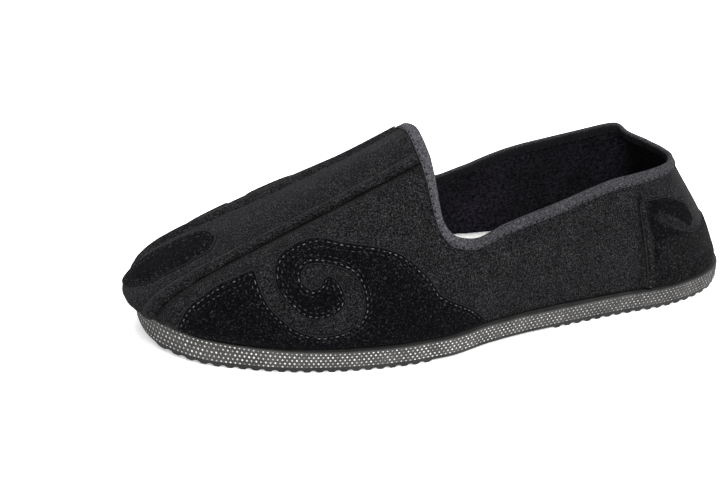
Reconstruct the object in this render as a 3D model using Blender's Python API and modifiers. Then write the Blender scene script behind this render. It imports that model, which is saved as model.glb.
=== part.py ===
"""Kung fu slip-on shoe, left foot: cloth upper with two beams and scroll applique on a ribbed rubber sole.

Lengths are in millimetres up to make_mesh and make_prism, which turn them into metres.
X runs from heel to toe, +Y is the outer (lateral) side and Z is up from the floor.
"""
import math

import bmesh
import bpy
import numpy as np

MM = 0.001
GAP = 0.3

# Sole: overall sizes
SOLE_LENGTH = 275.0
SOLE_THICKNESS = 10.5
TOE_SPRING = 6.4
SPRING_START = 0.70
HEEL_CAP = 50.0
HEEL_HALF_WIDTH = 33.5
TOE_TIP_Y = -8.0

# Half widths of the sole between the heel cap and the ball: station, lateral, medial
SOLE_WIDTHS = np.array([
    (50.0, 33.5, 33.5),
    (75.0, 35.0, 33.0),
    (100.0, 37.5, 33.8),
    (128.0, 43.2, 36.5),
    (150.0, 50.8, 40.0),
    (165.0, 52.5, 42.5),
    (195.0, 49.6, 46.0),
])
BALL_STATION = {1: 165.0, -1: 195.0}

# How far the outsole stands out past that outline: station, lateral, medial
SOLE_FLARE = np.array([
    (0.0, 0.6, 0.6),
    (3.0, 2.2, 2.2),
    (10.0, 3.2, 3.0),
    (22.0, 2.6, 2.2),
    (40.0, 2.2, 1.2),
    (60.0, 2.2, 0.3),
    (80.0, 2.8, 0.0),
    (98.0, 3.0, 0.0),
    (110.0, 2.6, 0.0),
    (121.0, 2.2, 0.0),
    (132.0, 1.8, 0.0),
    (145.0, 0.9, 0.0),
    (156.0, 0.2, 0.0),
    (162.0, 0.0, 0.0),
    (235.0, 0.0, 0.0),
    (255.0, 1.5, 0.0),
    (268.0, 1.6, 0.2),
    (275.0, 0.6, 0.6),
])

# Side of the sole from the tread up: height, how far it is set in
SOLE_SIDE = (
    (0.0, 1.0),
    (2.8, 0.6),
    (3.2, 0.0),
    (9.9, 0.0),
    (10.5, 0.5),
)

# Spring of the tread, less than that of the sole's top, so that the rubber is thicker at the toe
TREAD_SPRING = 2.6
TREAD_START = 0.85
# Heights of the side between which the tread's spring passes into that of the top
SPRING_BLEND = (3.2, 9.9)

# Tread: cross ribs under the forefoot and the heel, plain raised waist between them
RIB_PITCH = 5.2
RIB_CREST = 2.4
RIB_FLANK = (RIB_PITCH - RIB_CREST) / 2.0
RIB_DEPTH = 1.0
RIB_RUNS = ((4.0, 98.0), (158.0, 271.0))
WAIST_STATIONS = (104.0, 154.0)
HEEL_END = 2.4
TOE_END = 271.6

# Insole
INSOLE_INSET = 5.2
INSOLE_THICKNESS = 4.4

# Upper
UPPER_WALL = 2.4
FEATHER_INSET = 2.0
FOOT_MIDDLE = (140.0, 0.0, 30.0)

# Ribs of the upper from heel back to toe. Shares are places along the half outline of the sole.
# Each side has its own collar place; bulge and rise shape the wall, reach and drop shape the roof,
# and swell pushes the cloth out just above the feather line.
RIB_NAMES = ("lateral_share", "medial_share", "lateral_x", "lateral_y", "lateral_z",
             "medial_x", "medial_y", "medial_z", "bulge", "rise", "reach", "drop", "swell")
UPPER_RIBS = np.array([
    (0.000, 0.000, 27.0, 0.0, 62.2, 27.0, 0.0, 62.2, 2.8, 12.7, 8.2, 15.7, 1.5),
    (0.050, 0.050, 32.0, 12.0, 64.2, 31.5, 10.5, 63.4, 2.8, 12.7, 8.2, 15.7, 1.5),
    (0.090, 0.090, 39.0, 20.2, 66.0, 38.5, 18.5, 65.4, 3.2, 13.2, 7.9, 15.9, 1.3),
    (0.155, 0.160, 49.0, 25.5, 66.6, 44.5, 22.6, 69.0, 3.9, 15.3, 6.1, 16.9, 0.7),
    (0.245, 0.255, 66.0, 29.5, 66.3, 66.0, 25.5, 65.1, 4.0, 18.0, 3.0, 18.0, 0.0),
    (0.345, 0.358, 97.0, 33.0, 59.0, 97.0, 27.0, 59.5, 4.0, 16.0, 3.0, 15.0, 0.0),
    (0.427, 0.442, 119.0, 35.3, 53.9, 119.0, 27.5, 52.4, 4.0, 14.0, 3.0, 13.0, 0.0),
    (0.485, 0.503, 134.0, 36.3, 48.8, 134.0, 29.0, 48.1, 4.0, 13.0, 4.0, 11.0, 0.0),
    (0.543, 0.558, 142.3, 35.3, 50.2, 142.3, 30.3, 50.2, 4.0, 14.0, 5.0, 11.0, 0.0),
    (0.597, 0.615, 148.4, 32.5, 58.3, 148.4, 30.0, 58.3, 4.0, 16.0, 9.0, 11.0, 0.0),
    (0.670, 0.690, 149.8, 28.0, 68.5, 149.8, 27.5, 68.5, 4.5, 19.0, 20.0, 13.0, 0.0),
    (0.752, 0.772, 150.3, 22.5, 77.0, 150.3, 22.5, 77.0, 7.0, 21.0, 38.0, 19.0, 1.0),
    (0.860, 0.885, 150.6, 18.5, 81.0, 150.6, 18.5, 81.0, 16.0, 21.0, 64.0, 31.0, 3.2),
    (0.935, 0.957, 150.8, 15.8, 82.5, 150.8, 15.8, 82.5, 20.5, 17.0, 82.0, 41.0, 5.5),
    (0.985, 1.015, 151.0, 0.0, 87.0, 151.0, 0.0, 87.0, 21.0, 12.0, 88.0, 46.0, 5.5),
])
# The swell rises and falls as v (1 - v) ** SWELL_POWER; the scale makes its peak 1
SWELL_POWER = 18
SWELL_SCALE = (SWELL_POWER + 1) * (1.0 + 1.0 / SWELL_POWER) ** SWELL_POWER
TOE_RIB = len(UPPER_RIBS) - 1
BEAM_RIB = TOE_RIB - 1
LINES_PER_RIB = 3
WALL_ROWS = 9
ROW_CROWD = 1.4

# Collar binding: tape folded over the edge
TAPE_WIDTH = 5.5
TAPE_THICKNESS = 0.9
TAPE_ROUND = 0.2

# Beams: raised folds along the strip
BEAM_WIDTH = 4.6
BEAM_HEIGHT = 2.0
BEAM_START = 0.07
BEAM_ROWS = slice(2, -2)
# Round of the fold: aside and out, as shares of the half width and the height
BEAM_SHOULDER = (0.75, 0.7)

# Applique
PATCH_THICKNESS = 0.9
PATCH_FOOT = 0.03

# Cloud scroll, in the side view (x, z): the front edge, the top edge and the turns about the eye
SCROLL_FRONT = ((262.5, 10.0), (262.0, 20.0), (258.0, 27.5), (246.0, 36.7), (229.0, 44.1))
SCROLL_EYE = (207.0, 42.0)
EYE_RADIUS = 4.2
EYE_TURN = (300.0, 528.0)
# Turn in degrees from the toe side downward, radius
SLOT_EDGE = ((6.0, 21.6), (45.0, 20.9), (90.0, 23.3), (135.0, 25.5), (160.0, 22.0), (180.0, 17.8),
             (200.0, 11.5), (220.0, 7.4), (250.0, 5.2), (290.0, 4.3))
HEAD_EDGE = ((190.0, 6.3), (178.0, 9.6), (160.0, 12.8), (135.0, 16.8), (90.0, 16.4), (45.0, 14.3),
             (6.0, 15.0))
SCROLL_TOP = ((221.8, 43.0), (220.0, 47.2), (212.5, 52.0), (201.0, 55.2), (191.0, 54.0), (182.0, 53.0),
              (170.5, 49.5), (156.8, 37.0), (153.0, 30.6), (138.0, 21.0), (128.0, 7.0))
SCROLL_REACH = (8.0, 80.0)
SCROLL_RIBS = (6.0, 12.0 + 2.0 / 3.0)
SCROLL_ROWS = 8

# Heel patch, in the side view (x, z): front edge, lobe, slit and lower body
HEEL_FRONT = ((50.0, 4.0), (48.4, 17.0), (52.4, 36.0), (55.6, 53.0))
HEEL_LOBE = ((54.0, 54.4), (42.5, 53.6), (32.0, 48.8), (26.0, 43.5), (24.0, 38.6), (26.2, 35.6))
HEEL_SLIT = ((32.0, 38.2), (38.0, 42.6), (43.2, 45.6), (44.2, 44.2), (39.0, 40.2), (33.0, 35.6), (27.0, 32.6))
HEEL_BACK = ((14.0, 31.0), (-12.0, 30.0), (-12.0, 4.0))
HEEL_REACH = (-60.0, 60.0)
HEEL_RIBS = 4.0
HEEL_ROWS = 8

# Toe patch, in the top view (x, y): a tongue between the beams, its round end towards the throat
# and its front edge slanting down over the toe
TONGUE_END = (252.6, -3.5)
TONGUE_RADIUS = 10.4
TONGUE_FRONT = ((290.0, -20.5), (281.5, -12.0), (276.5, -3.0), (271.0, 3.5))
TONGUE_RIB = BEAM_RIB
TONGUE_ROWS = (1, 8)
TONGUE_FOOT = 0.07
TONGUE_HEIGHT = (0.0, 90.0)


def slopes_through(stations, values):
    """Slopes of a curve through the rows of values that doesn't swing past them."""
    step = np.diff(stations)[:, None]
    rise = np.diff(values, axis=0) / step
    slope = np.empty_like(values)
    slope[0] = rise[0]
    slope[-1] = rise[-1]
    before = 2.0 * step[1:] + step[:-1]
    after = step[1:] + 2.0 * step[:-1]
    same_way = rise[:-1] * rise[1:] > 0.0
    safe_before = np.where(same_way, rise[:-1], 1.0)
    safe_after = np.where(same_way, rise[1:], 1.0)
    slope[1:-1] = np.where(same_way, (before + after) / (before / safe_before + after / safe_after), 0.0)
    return slope


def curve_through(stations, values, at):
    """Smooth curve through rows of values, read at the places given."""
    stations = np.asarray(stations, float)
    values = np.asarray(values, float)
    at = np.asarray(at, float)
    slope = slopes_through(stations, values)
    row = np.clip(np.searchsorted(stations, at, side="right") - 1, 0, len(stations) - 2)
    step = (stations[row + 1] - stations[row])[:, None]
    t = (at - stations[row])[:, None] / step
    start = (1.0 + 2.0 * t) * (1.0 - t) ** 2 * values[row] + t * (1.0 - t) ** 2 * step * slope[row]
    end = t * t * (3.0 - 2.0 * t) * values[row + 1] + t * t * (t - 1.0) * step * slope[row + 1]
    return start + end


def path_through(points, per_span=3):
    """Smooth open path through a few points."""
    points = np.asarray(points, float)
    places = np.arange(len(points))
    return curve_through(places, points, np.linspace(0.0, places[-1], per_span * places[-1] + 1))


def spring(x, height=TOE_SPRING, start=SPRING_START):
    """Lift of the sole's top, or of the tread, towards the toe."""
    return height * np.clip((x / SOLE_LENGTH - start) / (1.0 - start), 0.0, None) ** 2


def half_width(x, side):
    """Half width of the sole at the stations x, lateral for side 1 and medial for side -1."""
    ball = BALL_STATION[side]
    rows = SOLE_WIDTHS[SOLE_WIDTHS[:, 0] <= ball]
    widths = rows[:, 1:2] if side > 0 else rows[:, 2:3]
    middle = curve_through(rows[:, 0], widths, np.clip(x, HEEL_CAP, ball))[:, 0]
    heel_turn = 1.0 - np.clip(x, 0.0, HEEL_CAP) / HEEL_CAP
    heel = HEEL_HALF_WIDTH * np.sqrt(1.0 - heel_turn ** 2)
    toe_turn = (np.clip(x, ball, SOLE_LENGTH) - ball) / (SOLE_LENGTH - ball)
    tip = side * TOE_TIP_Y
    toe = tip + (widths[-1, 0] - tip) * np.sqrt(np.clip(1.0 - toe_turn ** 2, 0.0, 1.0))
    return np.where(x < HEEL_CAP, heel, np.where(x > ball, toe, middle))


def half_outline(side, inset, x):
    """Points of one side of the sole's outline, set in by distances, with the outward directions."""
    fine = SOLE_LENGTH * (1.0 - np.cos(np.linspace(0.0, math.pi, 1201))) / 2.0
    line = np.stack([fine, side * half_width(fine, side)], axis=1)
    along = np.gradient(line, axis=0)
    along /= np.linalg.norm(along, axis=1)[:, None]
    outward = side * np.stack([-along[:, 1], along[:, 0]], axis=1)
    outward[0] = (-1.0, 0.0)
    outward[-1] = (1.0, 0.0)
    turned = np.stack([np.interp(x, fine, outward[:, axis]) for axis in range(2)], axis=1)
    turned /= np.linalg.norm(turned, axis=1)[:, None]
    points = np.stack([x, side * half_width(x, side)], axis=1)
    return points - inset * turned, turned


def feather_line(share):
    """Places of the feather line, 0 to 1 along the lateral side and on to 2 back along the medial side."""
    x = SOLE_LENGTH * (1.0 - np.cos(np.linspace(0.0, math.pi, 401))) / 2.0
    places = []
    for side in (1, -1):
        points, outward = half_outline(side, FEATHER_INSET, x)
        run = np.concatenate([[0.0], np.cumsum(np.linalg.norm(np.diff(points, axis=0), axis=1))])
        run /= run[-1]
        row = np.column_stack([run if side > 0 else 2.0 - run, points, outward])
        places.append(row if side > 0 else row[::-1][1:])
    places = np.concatenate(places)
    found = np.stack([np.interp(share, places[:, 0], places[:, column]) for column in range(1, 5)], axis=1)
    found[:, 2:] /= np.linalg.norm(found[:, 2:], axis=1)[:, None]
    return found[:, :2], found[:, 2:]


def loop_rows():
    """The rib table run once round the shoe: share, collar x, y, z, bulge, rise, reach, drop, swell."""
    column = {name: UPPER_RIBS[:, index] for index, name in enumerate(RIB_NAMES)}
    shape = UPPER_RIBS[:, RIB_NAMES.index("bulge"):]
    lateral = np.column_stack([column["lateral_share"], column["lateral_x"], column["lateral_y"],
                               column["lateral_z"], shape])
    medial = np.column_stack([2.0 - column["medial_share"], column["medial_x"], -column["medial_y"],
                              column["medial_z"], shape])
    return np.concatenate([lateral, medial[-2:0:-1]])


def rib_controls(places):
    """Four Bezier points and the swell of each rib, places counted in ribs round the loop from the heel."""
    rows = loop_rows()
    count = len(rows)
    lap = np.zeros(rows.shape[1])
    lap[0] = 2.0
    laps = np.concatenate([rows - lap, rows, rows + lap])
    share, *rest = curve_through(np.arange(-count, 2 * count), laps, places).T
    collar_x, collar_y, collar_z, bulge, rise, reach, drop, swell = rest
    feather, outward = feather_line(np.mod(share, 2.0))
    foot = np.column_stack([feather, SOLE_THICKNESS + GAP + spring(feather[:, 0])])
    wall = foot + np.column_stack([outward * bulge[:, None], rise])
    collar = np.column_stack([collar_x, collar_y, collar_z])
    away = feather - collar[:, :2]
    away /= np.linalg.norm(away, axis=1)[:, None]
    roof = collar + np.column_stack([away * reach[:, None], -drop])
    push = np.column_stack([outward * swell[:, None], np.zeros(len(places))])
    return foot, wall, roof, collar, push


def rib_points(places, v):
    """Points of the upper's outer face: v has a row of heights (0 feather, 1 collar) for each rib."""
    foot, wall, roof, collar, push = (control[:, None, :] for control in rib_controls(places))
    v = v[:, :, None]
    curve = (1 - v) ** 3 * foot + 3 * v * (1 - v) ** 2 * wall + 3 * v * v * (1 - v) * roof + v ** 3 * collar
    return curve + SWELL_SCALE * v * (1 - v) ** SWELL_POWER * push


def face_normals(places, v):
    """Outward normals of the upper's outer face at the same places."""
    small = 0.01
    across = rib_points(places + small, v) - rib_points(places - small, v)
    up = rib_points(places, np.minimum(v + small, 1.0)) - rib_points(places, np.maximum(v - small, 0.0))
    normal = np.cross(up, across)
    return normal / np.linalg.norm(normal, axis=2)[:, :, None]


def height_below_collar(places, distance):
    """Height v of each rib at a distance below the collar, measured along the rib."""
    fine = np.linspace(1.0, 0.5, 201)
    points = rib_points(places, np.tile(fine, (len(places), 1)))
    run = np.cumsum(np.linalg.norm(np.diff(points, axis=1), axis=2), axis=1)
    run = np.concatenate([np.zeros((len(places), 1)), run], axis=1)
    return np.array([np.interp(distance, row, fine) for row in run])


def wall_rows(places):
    """Heights of the upper's rows, closer near the sole, up to the tape's lower edge, then the collar."""
    band = height_below_collar(places, TAPE_WIDTH)
    steps = np.linspace(0.0, 1.0, WALL_ROWS + 1) ** ROW_CROWD
    return np.column_stack([band[:, None] * steps[None, :], np.ones(len(places))])


def loop_places():
    """Rib lines once round the shoe, closed."""
    return np.arange(0, 2 * TOE_RIB * LINES_PER_RIB + 1) / LINES_PER_RIB


def make_mesh(name, points, material, collection):
    """Object from a grid of points (rows, columns, 3); rows or ends that meet are welded."""
    rows, columns = points.shape[:2]
    mesh = bpy.data.meshes.new(name)
    bm = bmesh.new()
    bmesh.ops.create_grid(bm, x_segments=columns - 1, y_segments=rows - 1, size=1.0)
    bm.verts.ensure_lookup_table()
    for vert, place in zip(bm.verts, points.reshape(-1, 3) * MM):
        vert.co = place
    bmesh.ops.remove_doubles(bm, verts=bm.verts, dist=1e-6)
    bmesh.ops.dissolve_degenerate(bm, edges=bm.edges, dist=1e-6)
    bmesh.ops.recalc_face_normals(bm, faces=bm.faces)
    bm.to_mesh(mesh)
    bm.free()
    return add_object(name, mesh, material, collection)


def make_prism(name, outline, place, reach, collection):
    """Cutter: a closed outline pushed through between two distances; place(a, b, depth) gives a point."""
    mesh = bpy.data.meshes.new(name)
    bm = bmesh.new()
    near, far = reach
    ring = [bm.verts.new(np.array(place(a, b, near)) * MM) for a, b in outline]
    pushed = bmesh.ops.extrude_face_region(bm, geom=[bm.faces.new(ring)], use_keep_orig=True)
    shift = (np.array(place(0.0, 0.0, far)) - np.array(place(0.0, 0.0, near))) * MM
    moved = [item for item in pushed["geom"] if isinstance(item, bmesh.types.BMVert)]
    bmesh.ops.translate(bm, vec=shift, verts=moved)
    bmesh.ops.recalc_face_normals(bm, faces=bm.faces)
    bm.to_mesh(mesh)
    bm.free()
    cutter = add_object(name, mesh, None, collection)
    cutter.hide_render = True
    cutter.display_type = "WIRE"
    return cutter


def add_object(name, mesh, material, collection):
    """Object under the shoe's root empty, shaded smooth up to its sharp edges."""
    if material:
        mesh.materials.append(material)
    mesh.shade_smooth()
    mesh.set_sharp_from_angle(angle=math.radians(35.0))
    item = bpy.data.objects.new(name, mesh)
    collection.objects.link(item)
    item.parent = bpy.data.objects["shoe"]
    return item


def make_material(name, colour, roughness):
    """Plain Principled material."""
    material = bpy.data.materials.new(name)
    material.use_nodes = True
    shader = material.node_tree.nodes["Principled BSDF"]
    shader.inputs["Base Color"].default_value = (*colour, 1.0)
    shader.inputs["Roughness"].default_value = roughness
    shader.inputs["Metallic"].default_value = 0.0
    return material


def tread_height(x):
    """Height of the tread's underside, 0 on a rib's crest and RIB_DEPTH in a groove or at the waist."""
    height = np.full(len(x), RIB_DEPTH)
    for start, end in RIB_RUNS:
        count = int((end - start - RIB_CREST) / RIB_PITCH)
        for index in range(count + 1):
            middle = start + RIB_CREST / 2.0 + index * RIB_PITCH
            flank = (np.abs(x - middle) - RIB_CREST / 2.0) / RIB_FLANK
            height = np.minimum(height, RIB_DEPTH * np.clip(flank, 0.0, 1.0))
    return height


def sole_stations():
    """Stations along the sole: each rib's corners, and close ones round both ends."""
    ends = SOLE_LENGTH * (1.0 - np.cos(np.linspace(0.0, math.pi, 65))) / 2.0
    stations = [ends[(ends < HEEL_END) | (ends > TOE_END)], np.linspace(*WAIST_STATIONS, 6)]
    for start, end in RIB_RUNS:
        count = int((end - start - RIB_CREST) / RIB_PITCH)
        stations.append([start - RIB_FLANK])
        for index in range(count + 1):
            crest = start + index * RIB_PITCH
            stations.append(crest + np.array([0.0, RIB_CREST, RIB_CREST + RIB_FLANK]))
    return np.unique(np.concatenate(stations).round(4))


def build_outsole(material, collection):
    """Outsole: a loft of sections, stepped side, cross ribs below, flared heel and toe spring."""
    x = sole_stations()
    tread_lift = spring(x, TREAD_SPRING, TREAD_START)
    foot = tread_height(x)
    columns = []
    for side, levels in ((1, SOLE_SIDE), (-1, SOLE_SIDE[::-1])):
        flare = curve_through(SOLE_FLARE[:, 0], SOLE_FLARE[:, 1:], x)[:, [0 if side > 0 else 1]]
        for height, inset in levels:
            points, _ = half_outline(side, inset - flare, x)
            level = foot if height == 0.0 else np.full(len(x), height)
            blend = np.clip((height - SPRING_BLEND[0]) / (SPRING_BLEND[1] - SPRING_BLEND[0]), 0.0, 1.0)
            lift = tread_lift + blend * (spring(x) - tread_lift)
            columns.append(np.column_stack([points, level + lift]))
    columns.append(columns[0])
    return make_mesh("outsole", np.stack(columns, axis=1), material, collection)


def build_insole(material, collection):
    """Insole: a flat board that follows the outsole inside the upper."""
    x = SOLE_LENGTH * (1.0 - np.cos(np.linspace(0.0, math.pi, 41))) / 2.0
    bottom = SOLE_THICKNESS + GAP
    columns = []
    for side, levels in ((1, (0.0, INSOLE_THICKNESS)), (-1, (INSOLE_THICKNESS, 0.0))):
        points, _ = half_outline(side, INSOLE_INSET, x)
        for level in levels:
            columns.append(np.column_stack([points, bottom + level + spring(points[:, 0])]))
    columns.append(columns[0])
    return make_mesh("insole", np.stack(columns, axis=1), material, collection)


def add_wall(item, thickness, offset):
    """Solidify an open surface: offset 1 grows outward and -1 inward."""
    wall = item.modifiers.new("wall", "SOLIDIFY")
    wall.thickness = thickness * MM
    wall.offset = offset
    wall.use_even_offset = True
    wall.use_quality_normals = True


def turn_faces_out(item):
    """Turn an open surface so that its faces look away from the middle of the foot."""
    mesh = item.data
    inside = np.array(FOOT_MIDDLE) * MM
    agree = sum(np.dot(np.array(face.center) - inside, np.array(face.normal)) * face.area
                for face in mesh.polygons)
    if agree < 0.0:
        mesh.flip_normals()


def build_upper(material, collection):
    """Upper: one open cloth shell, ribs from the feather line to the collar, wall turned inward."""
    places = loop_places()
    item = make_mesh("upper", rib_points(places, wall_rows(places)), material, collection)
    turn_faces_out(item)
    add_wall(item, UPPER_WALL, -1.0)
    return item


def build_binding(material, collection):
    """Collar binding: a tape in an upside-down U over the collar edge."""
    places = loop_places()
    outer = GAP + TAPE_THICKNESS
    inner = UPPER_WALL + GAP
    # Distance below the collar edge (above it where negative), distance out from the upper's outer face
    section = (
        (TAPE_WIDTH, GAP), (TAPE_WIDTH, outer), (0.0, outer), (-outer, TAPE_ROUND),
        (-outer, -UPPER_WALL - TAPE_ROUND), (0.0, -inner - TAPE_THICKNESS),
        (TAPE_WIDTH, -inner - TAPE_THICKNESS), (TAPE_WIDTH, -inner), (-GAP, -inner), (-GAP, GAP),
    )
    top = np.ones((len(places), 1))
    below = height_below_collar(places, TAPE_WIDTH)[:, None]
    up = rib_points(places, top) - rib_points(places, below)
    up /= np.linalg.norm(up, axis=2)[:, :, None]
    columns = []
    for distance, out in section + section[:1]:
        v = below if distance > 0.0 else top
        lift = max(-distance, 0.0)
        columns.append(rib_points(places, v) + out * face_normals(places, v) + lift * up)
    return make_mesh("collar_binding", np.concatenate(columns, axis=1), material, collection)


def build_beam(side, name, material, collection):
    """Beam: a raised fold along one edge of the strip, from the toe to just below the tape."""
    place = np.array([BEAM_RIB if side > 0 else 2 * TOE_RIB - BEAM_RIB], float)
    end = height_below_collar(place, TAPE_WIDTH + 2.0 * GAP)[0]
    v = np.concatenate([[BEAM_START], wall_rows(place)[0, BEAM_ROWS], [end]])[None, :]
    line = rib_points(place, v)[0]
    normal = face_normals(place, v)[0]
    along = np.gradient(line, axis=0)
    across = np.cross(along, normal)
    across /= np.linalg.norm(across, axis=1)[:, None]
    half = BEAM_WIDTH / 2.0
    aside, out = BEAM_SHOULDER[0] * half, BEAM_SHOULDER[1] * BEAM_HEIGHT + GAP
    section = ((-half, GAP), (-aside, out), (0.0, BEAM_HEIGHT + GAP), (aside, out), (half, GAP),
               (0.0, GAP), (-half, GAP))
    columns = [line + aside * across + out * normal for aside, out in section]
    points = np.stack(columns, axis=1)
    ends = [np.repeat(points[row].mean(axis=0)[None, None, :], len(section), axis=1) for row in (0, -1)]
    return make_mesh(name, np.concatenate([ends[0], points, ends[1]]), material, collection)


def build_patch(name, places, v, cutter, material, collection):
    """Applique: a skin laid on the upper's own face, cut to its outline."""
    points = rib_points(places, v) + GAP * face_normals(places, v)
    item = make_mesh(name, points, material, collection)
    turn_faces_out(item)
    add_wall(item, PATCH_THICKNESS, 1.0)
    cut = item.modifiers.new("outline", "BOOLEAN")
    cut.operation = "INTERSECT"
    cut.solver = "EXACT"
    cut.object = cutter
    return item


def patch_rows(places, first, last, foot=PATCH_FOOT):
    """Rows of the upper's wall between two of them, the lowest lifted to the patch's foot."""
    return np.maximum(wall_rows(places)[:, first:last + 1], foot)


def around_eye(edge):
    """Path about the scroll's eye from rows of turn in degrees and radius."""
    turn, radius = path_through(edge).T
    angle = np.radians(turn)
    return np.column_stack([SCROLL_EYE[0] + radius * np.cos(angle), SCROLL_EYE[1] - radius * np.sin(angle)])


def scroll_outline():
    """Closed outline of the cloud scroll: front edge, slot turning in to the eye, head and top edge."""
    eye = [(turn, EYE_RADIUS) for turn in np.linspace(*EYE_TURN, 5)]
    return np.concatenate([path_through(SCROLL_FRONT), around_eye(SLOT_EDGE), around_eye(eye),
                           around_eye(HEAD_EDGE), path_through(SCROLL_TOP)])


def build_scroll(side, name, material, collection, cutters):
    """Cloud scroll on one side of the forefoot."""
    first, last = SCROLL_RIBS
    places = np.arange(round(first * LINES_PER_RIB), round(last * LINES_PER_RIB) + 1) / LINES_PER_RIB
    if side < 0:
        places = 2 * TOE_RIB - places
    cutter = make_prism(name + "_outline", scroll_outline(), lambda x, z, y: (x, side * y, z),
                        SCROLL_REACH, cutters)
    return build_patch(name, places, patch_rows(places, 0, SCROLL_ROWS), cutter, material, collection)


def build_heel_patch(material, collection, cutters):
    """Heel patch: wraps the back of the heel, with a lobe above a slit on each side."""
    count = round(HEEL_RIBS * LINES_PER_RIB)
    places = np.arange(-count, count + 1) / LINES_PER_RIB
    outline = np.concatenate([path_through(HEEL_FRONT), path_through(HEEL_LOBE),
                              path_through(HEEL_SLIT, 2), np.array(HEEL_BACK)])
    cutter = make_prism("heel_patch_outline", outline, lambda x, z, y: (x, y, z), HEEL_REACH, cutters)
    return build_patch("heel_patch", places, patch_rows(places, 0, HEEL_ROWS), cutter, material, collection)


def build_toe_patch(material, collection, cutters):
    """Toe patch: a velvet tongue on the strip, its round end towards the throat."""
    count = round((TOE_RIB - TONGUE_RIB) * LINES_PER_RIB)
    places = TOE_RIB + np.arange(-count, count + 1) / LINES_PER_RIB
    angle = np.linspace(0.5 * math.pi, 1.5 * math.pi, 15)
    end = np.column_stack([TONGUE_END[0] + TONGUE_RADIUS * np.cos(angle),
                           TONGUE_END[1] + TONGUE_RADIUS * np.sin(angle)])
    cutter = make_prism("toe_patch_outline", np.concatenate([end, np.array(TONGUE_FRONT)]),
                        lambda x, y, z: (x, y, z), TONGUE_HEIGHT, cutters)
    rows = patch_rows(places, *TONGUE_ROWS, foot=TONGUE_FOOT)
    return build_patch("toe_patch", places, rows, cutter, material, collection)


def centre_on_origin(root, items):
    """Put the middle of the shoe's box over the origin, floor at Z 0."""
    bpy.context.view_layer.update()
    graph = bpy.context.evaluated_depsgraph_get()
    corners = []
    for item in items:
        shown = item.evaluated_get(graph)
        corners.extend(np.array(vert.co) for vert in shown.to_mesh().vertices)
        shown.to_mesh_clear()
    corners = np.array(corners)
    middle = (corners.min(axis=0) + corners.max(axis=0)) / 2.0
    root.location = (-middle[0], -middle[1], -corners[:, 2].min())


def build_shoe():
    """Clear the scene and build the shoe's pieces under one root."""
    for item in list(bpy.data.objects):
        bpy.data.objects.remove(item, do_unlink=True)
    collection = bpy.data.collections.new("kung_fu_shoe")
    cutters = bpy.data.collections.new("outline_cutters")
    for group in (collection, cutters):
        bpy.context.scene.collection.children.link(group)
    root = bpy.data.objects.new("shoe", None)
    collection.objects.link(root)

    rubber = make_material("sole_rubber", (0.045, 0.045, 0.047), 0.6)
    cotton = make_material("insole_cotton", (0.75, 0.74, 0.71), 0.9)
    felt = make_material("upper_felt", (0.030, 0.030, 0.034), 0.95)
    velvet = make_material("applique_velvet", (0.008, 0.008, 0.010), 0.9)
    twill = make_material("binding_twill", (0.20, 0.20, 0.21), 0.9)

    items = [
        build_outsole(rubber, collection),
        build_insole(cotton, collection),
        build_upper(felt, collection),
        build_binding(twill, collection),
        build_beam(1, "beam_lateral", felt, collection),
        build_beam(-1, "beam_medial", felt, collection),
        build_scroll(1, "scroll_lateral", velvet, collection, cutters),
        build_scroll(-1, "scroll_medial", velvet, collection, cutters),
        build_heel_patch(velvet, collection, cutters),
        build_toe_patch(velvet, collection, cutters),
    ]
    centre_on_origin(root, items)


build_shoe()
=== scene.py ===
import math

import bmesh
import bpy
import numpy as np
from mathutils import Matrix, Vector
from mathutils.bvhtree import BVHTree


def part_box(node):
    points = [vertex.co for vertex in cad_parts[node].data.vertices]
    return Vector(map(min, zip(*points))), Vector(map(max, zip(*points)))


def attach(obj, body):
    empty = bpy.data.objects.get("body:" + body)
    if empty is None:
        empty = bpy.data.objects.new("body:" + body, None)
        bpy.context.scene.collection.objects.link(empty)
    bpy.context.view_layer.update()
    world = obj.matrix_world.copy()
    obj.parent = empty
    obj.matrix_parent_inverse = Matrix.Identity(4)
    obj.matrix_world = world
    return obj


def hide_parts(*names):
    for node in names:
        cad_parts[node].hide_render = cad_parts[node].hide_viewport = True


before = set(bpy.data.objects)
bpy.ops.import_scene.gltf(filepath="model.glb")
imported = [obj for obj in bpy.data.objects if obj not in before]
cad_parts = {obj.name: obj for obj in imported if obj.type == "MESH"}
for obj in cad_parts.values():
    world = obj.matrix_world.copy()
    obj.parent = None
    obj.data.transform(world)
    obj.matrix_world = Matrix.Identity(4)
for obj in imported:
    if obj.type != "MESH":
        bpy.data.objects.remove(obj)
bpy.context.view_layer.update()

# Outsole. Dark rubber moulded in one piece, square at its side, with staggered rows of small studs round
# the wall and rounded cross ribs under the forefoot and the heel. The lasted upper is cemented on top.
SOLE_LENGTH = 275.0
SOLE_THICKNESS = 10.5
TOE_SPRING = 6.4
SPRING_START = 0.70
HEEL_CAP = 50.0
HEEL_HALF_WIDTH = 33.5
TOE_TIP_Y = -8.0
BALL_STATION = {1: 165.0, -1: 195.0}
# Half widths between the heel cap and the ball: station, lateral, medial
SOLE_WIDTHS = np.array([(50.0, 33.5, 33.5), (75.0, 35.0, 33.0), (100.0, 37.5, 33.8), (128.0, 43.2, 36.5),
                        (150.0, 50.8, 40.0), (165.0, 52.5, 42.5), (195.0, 49.6, 46.0)])
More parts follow.
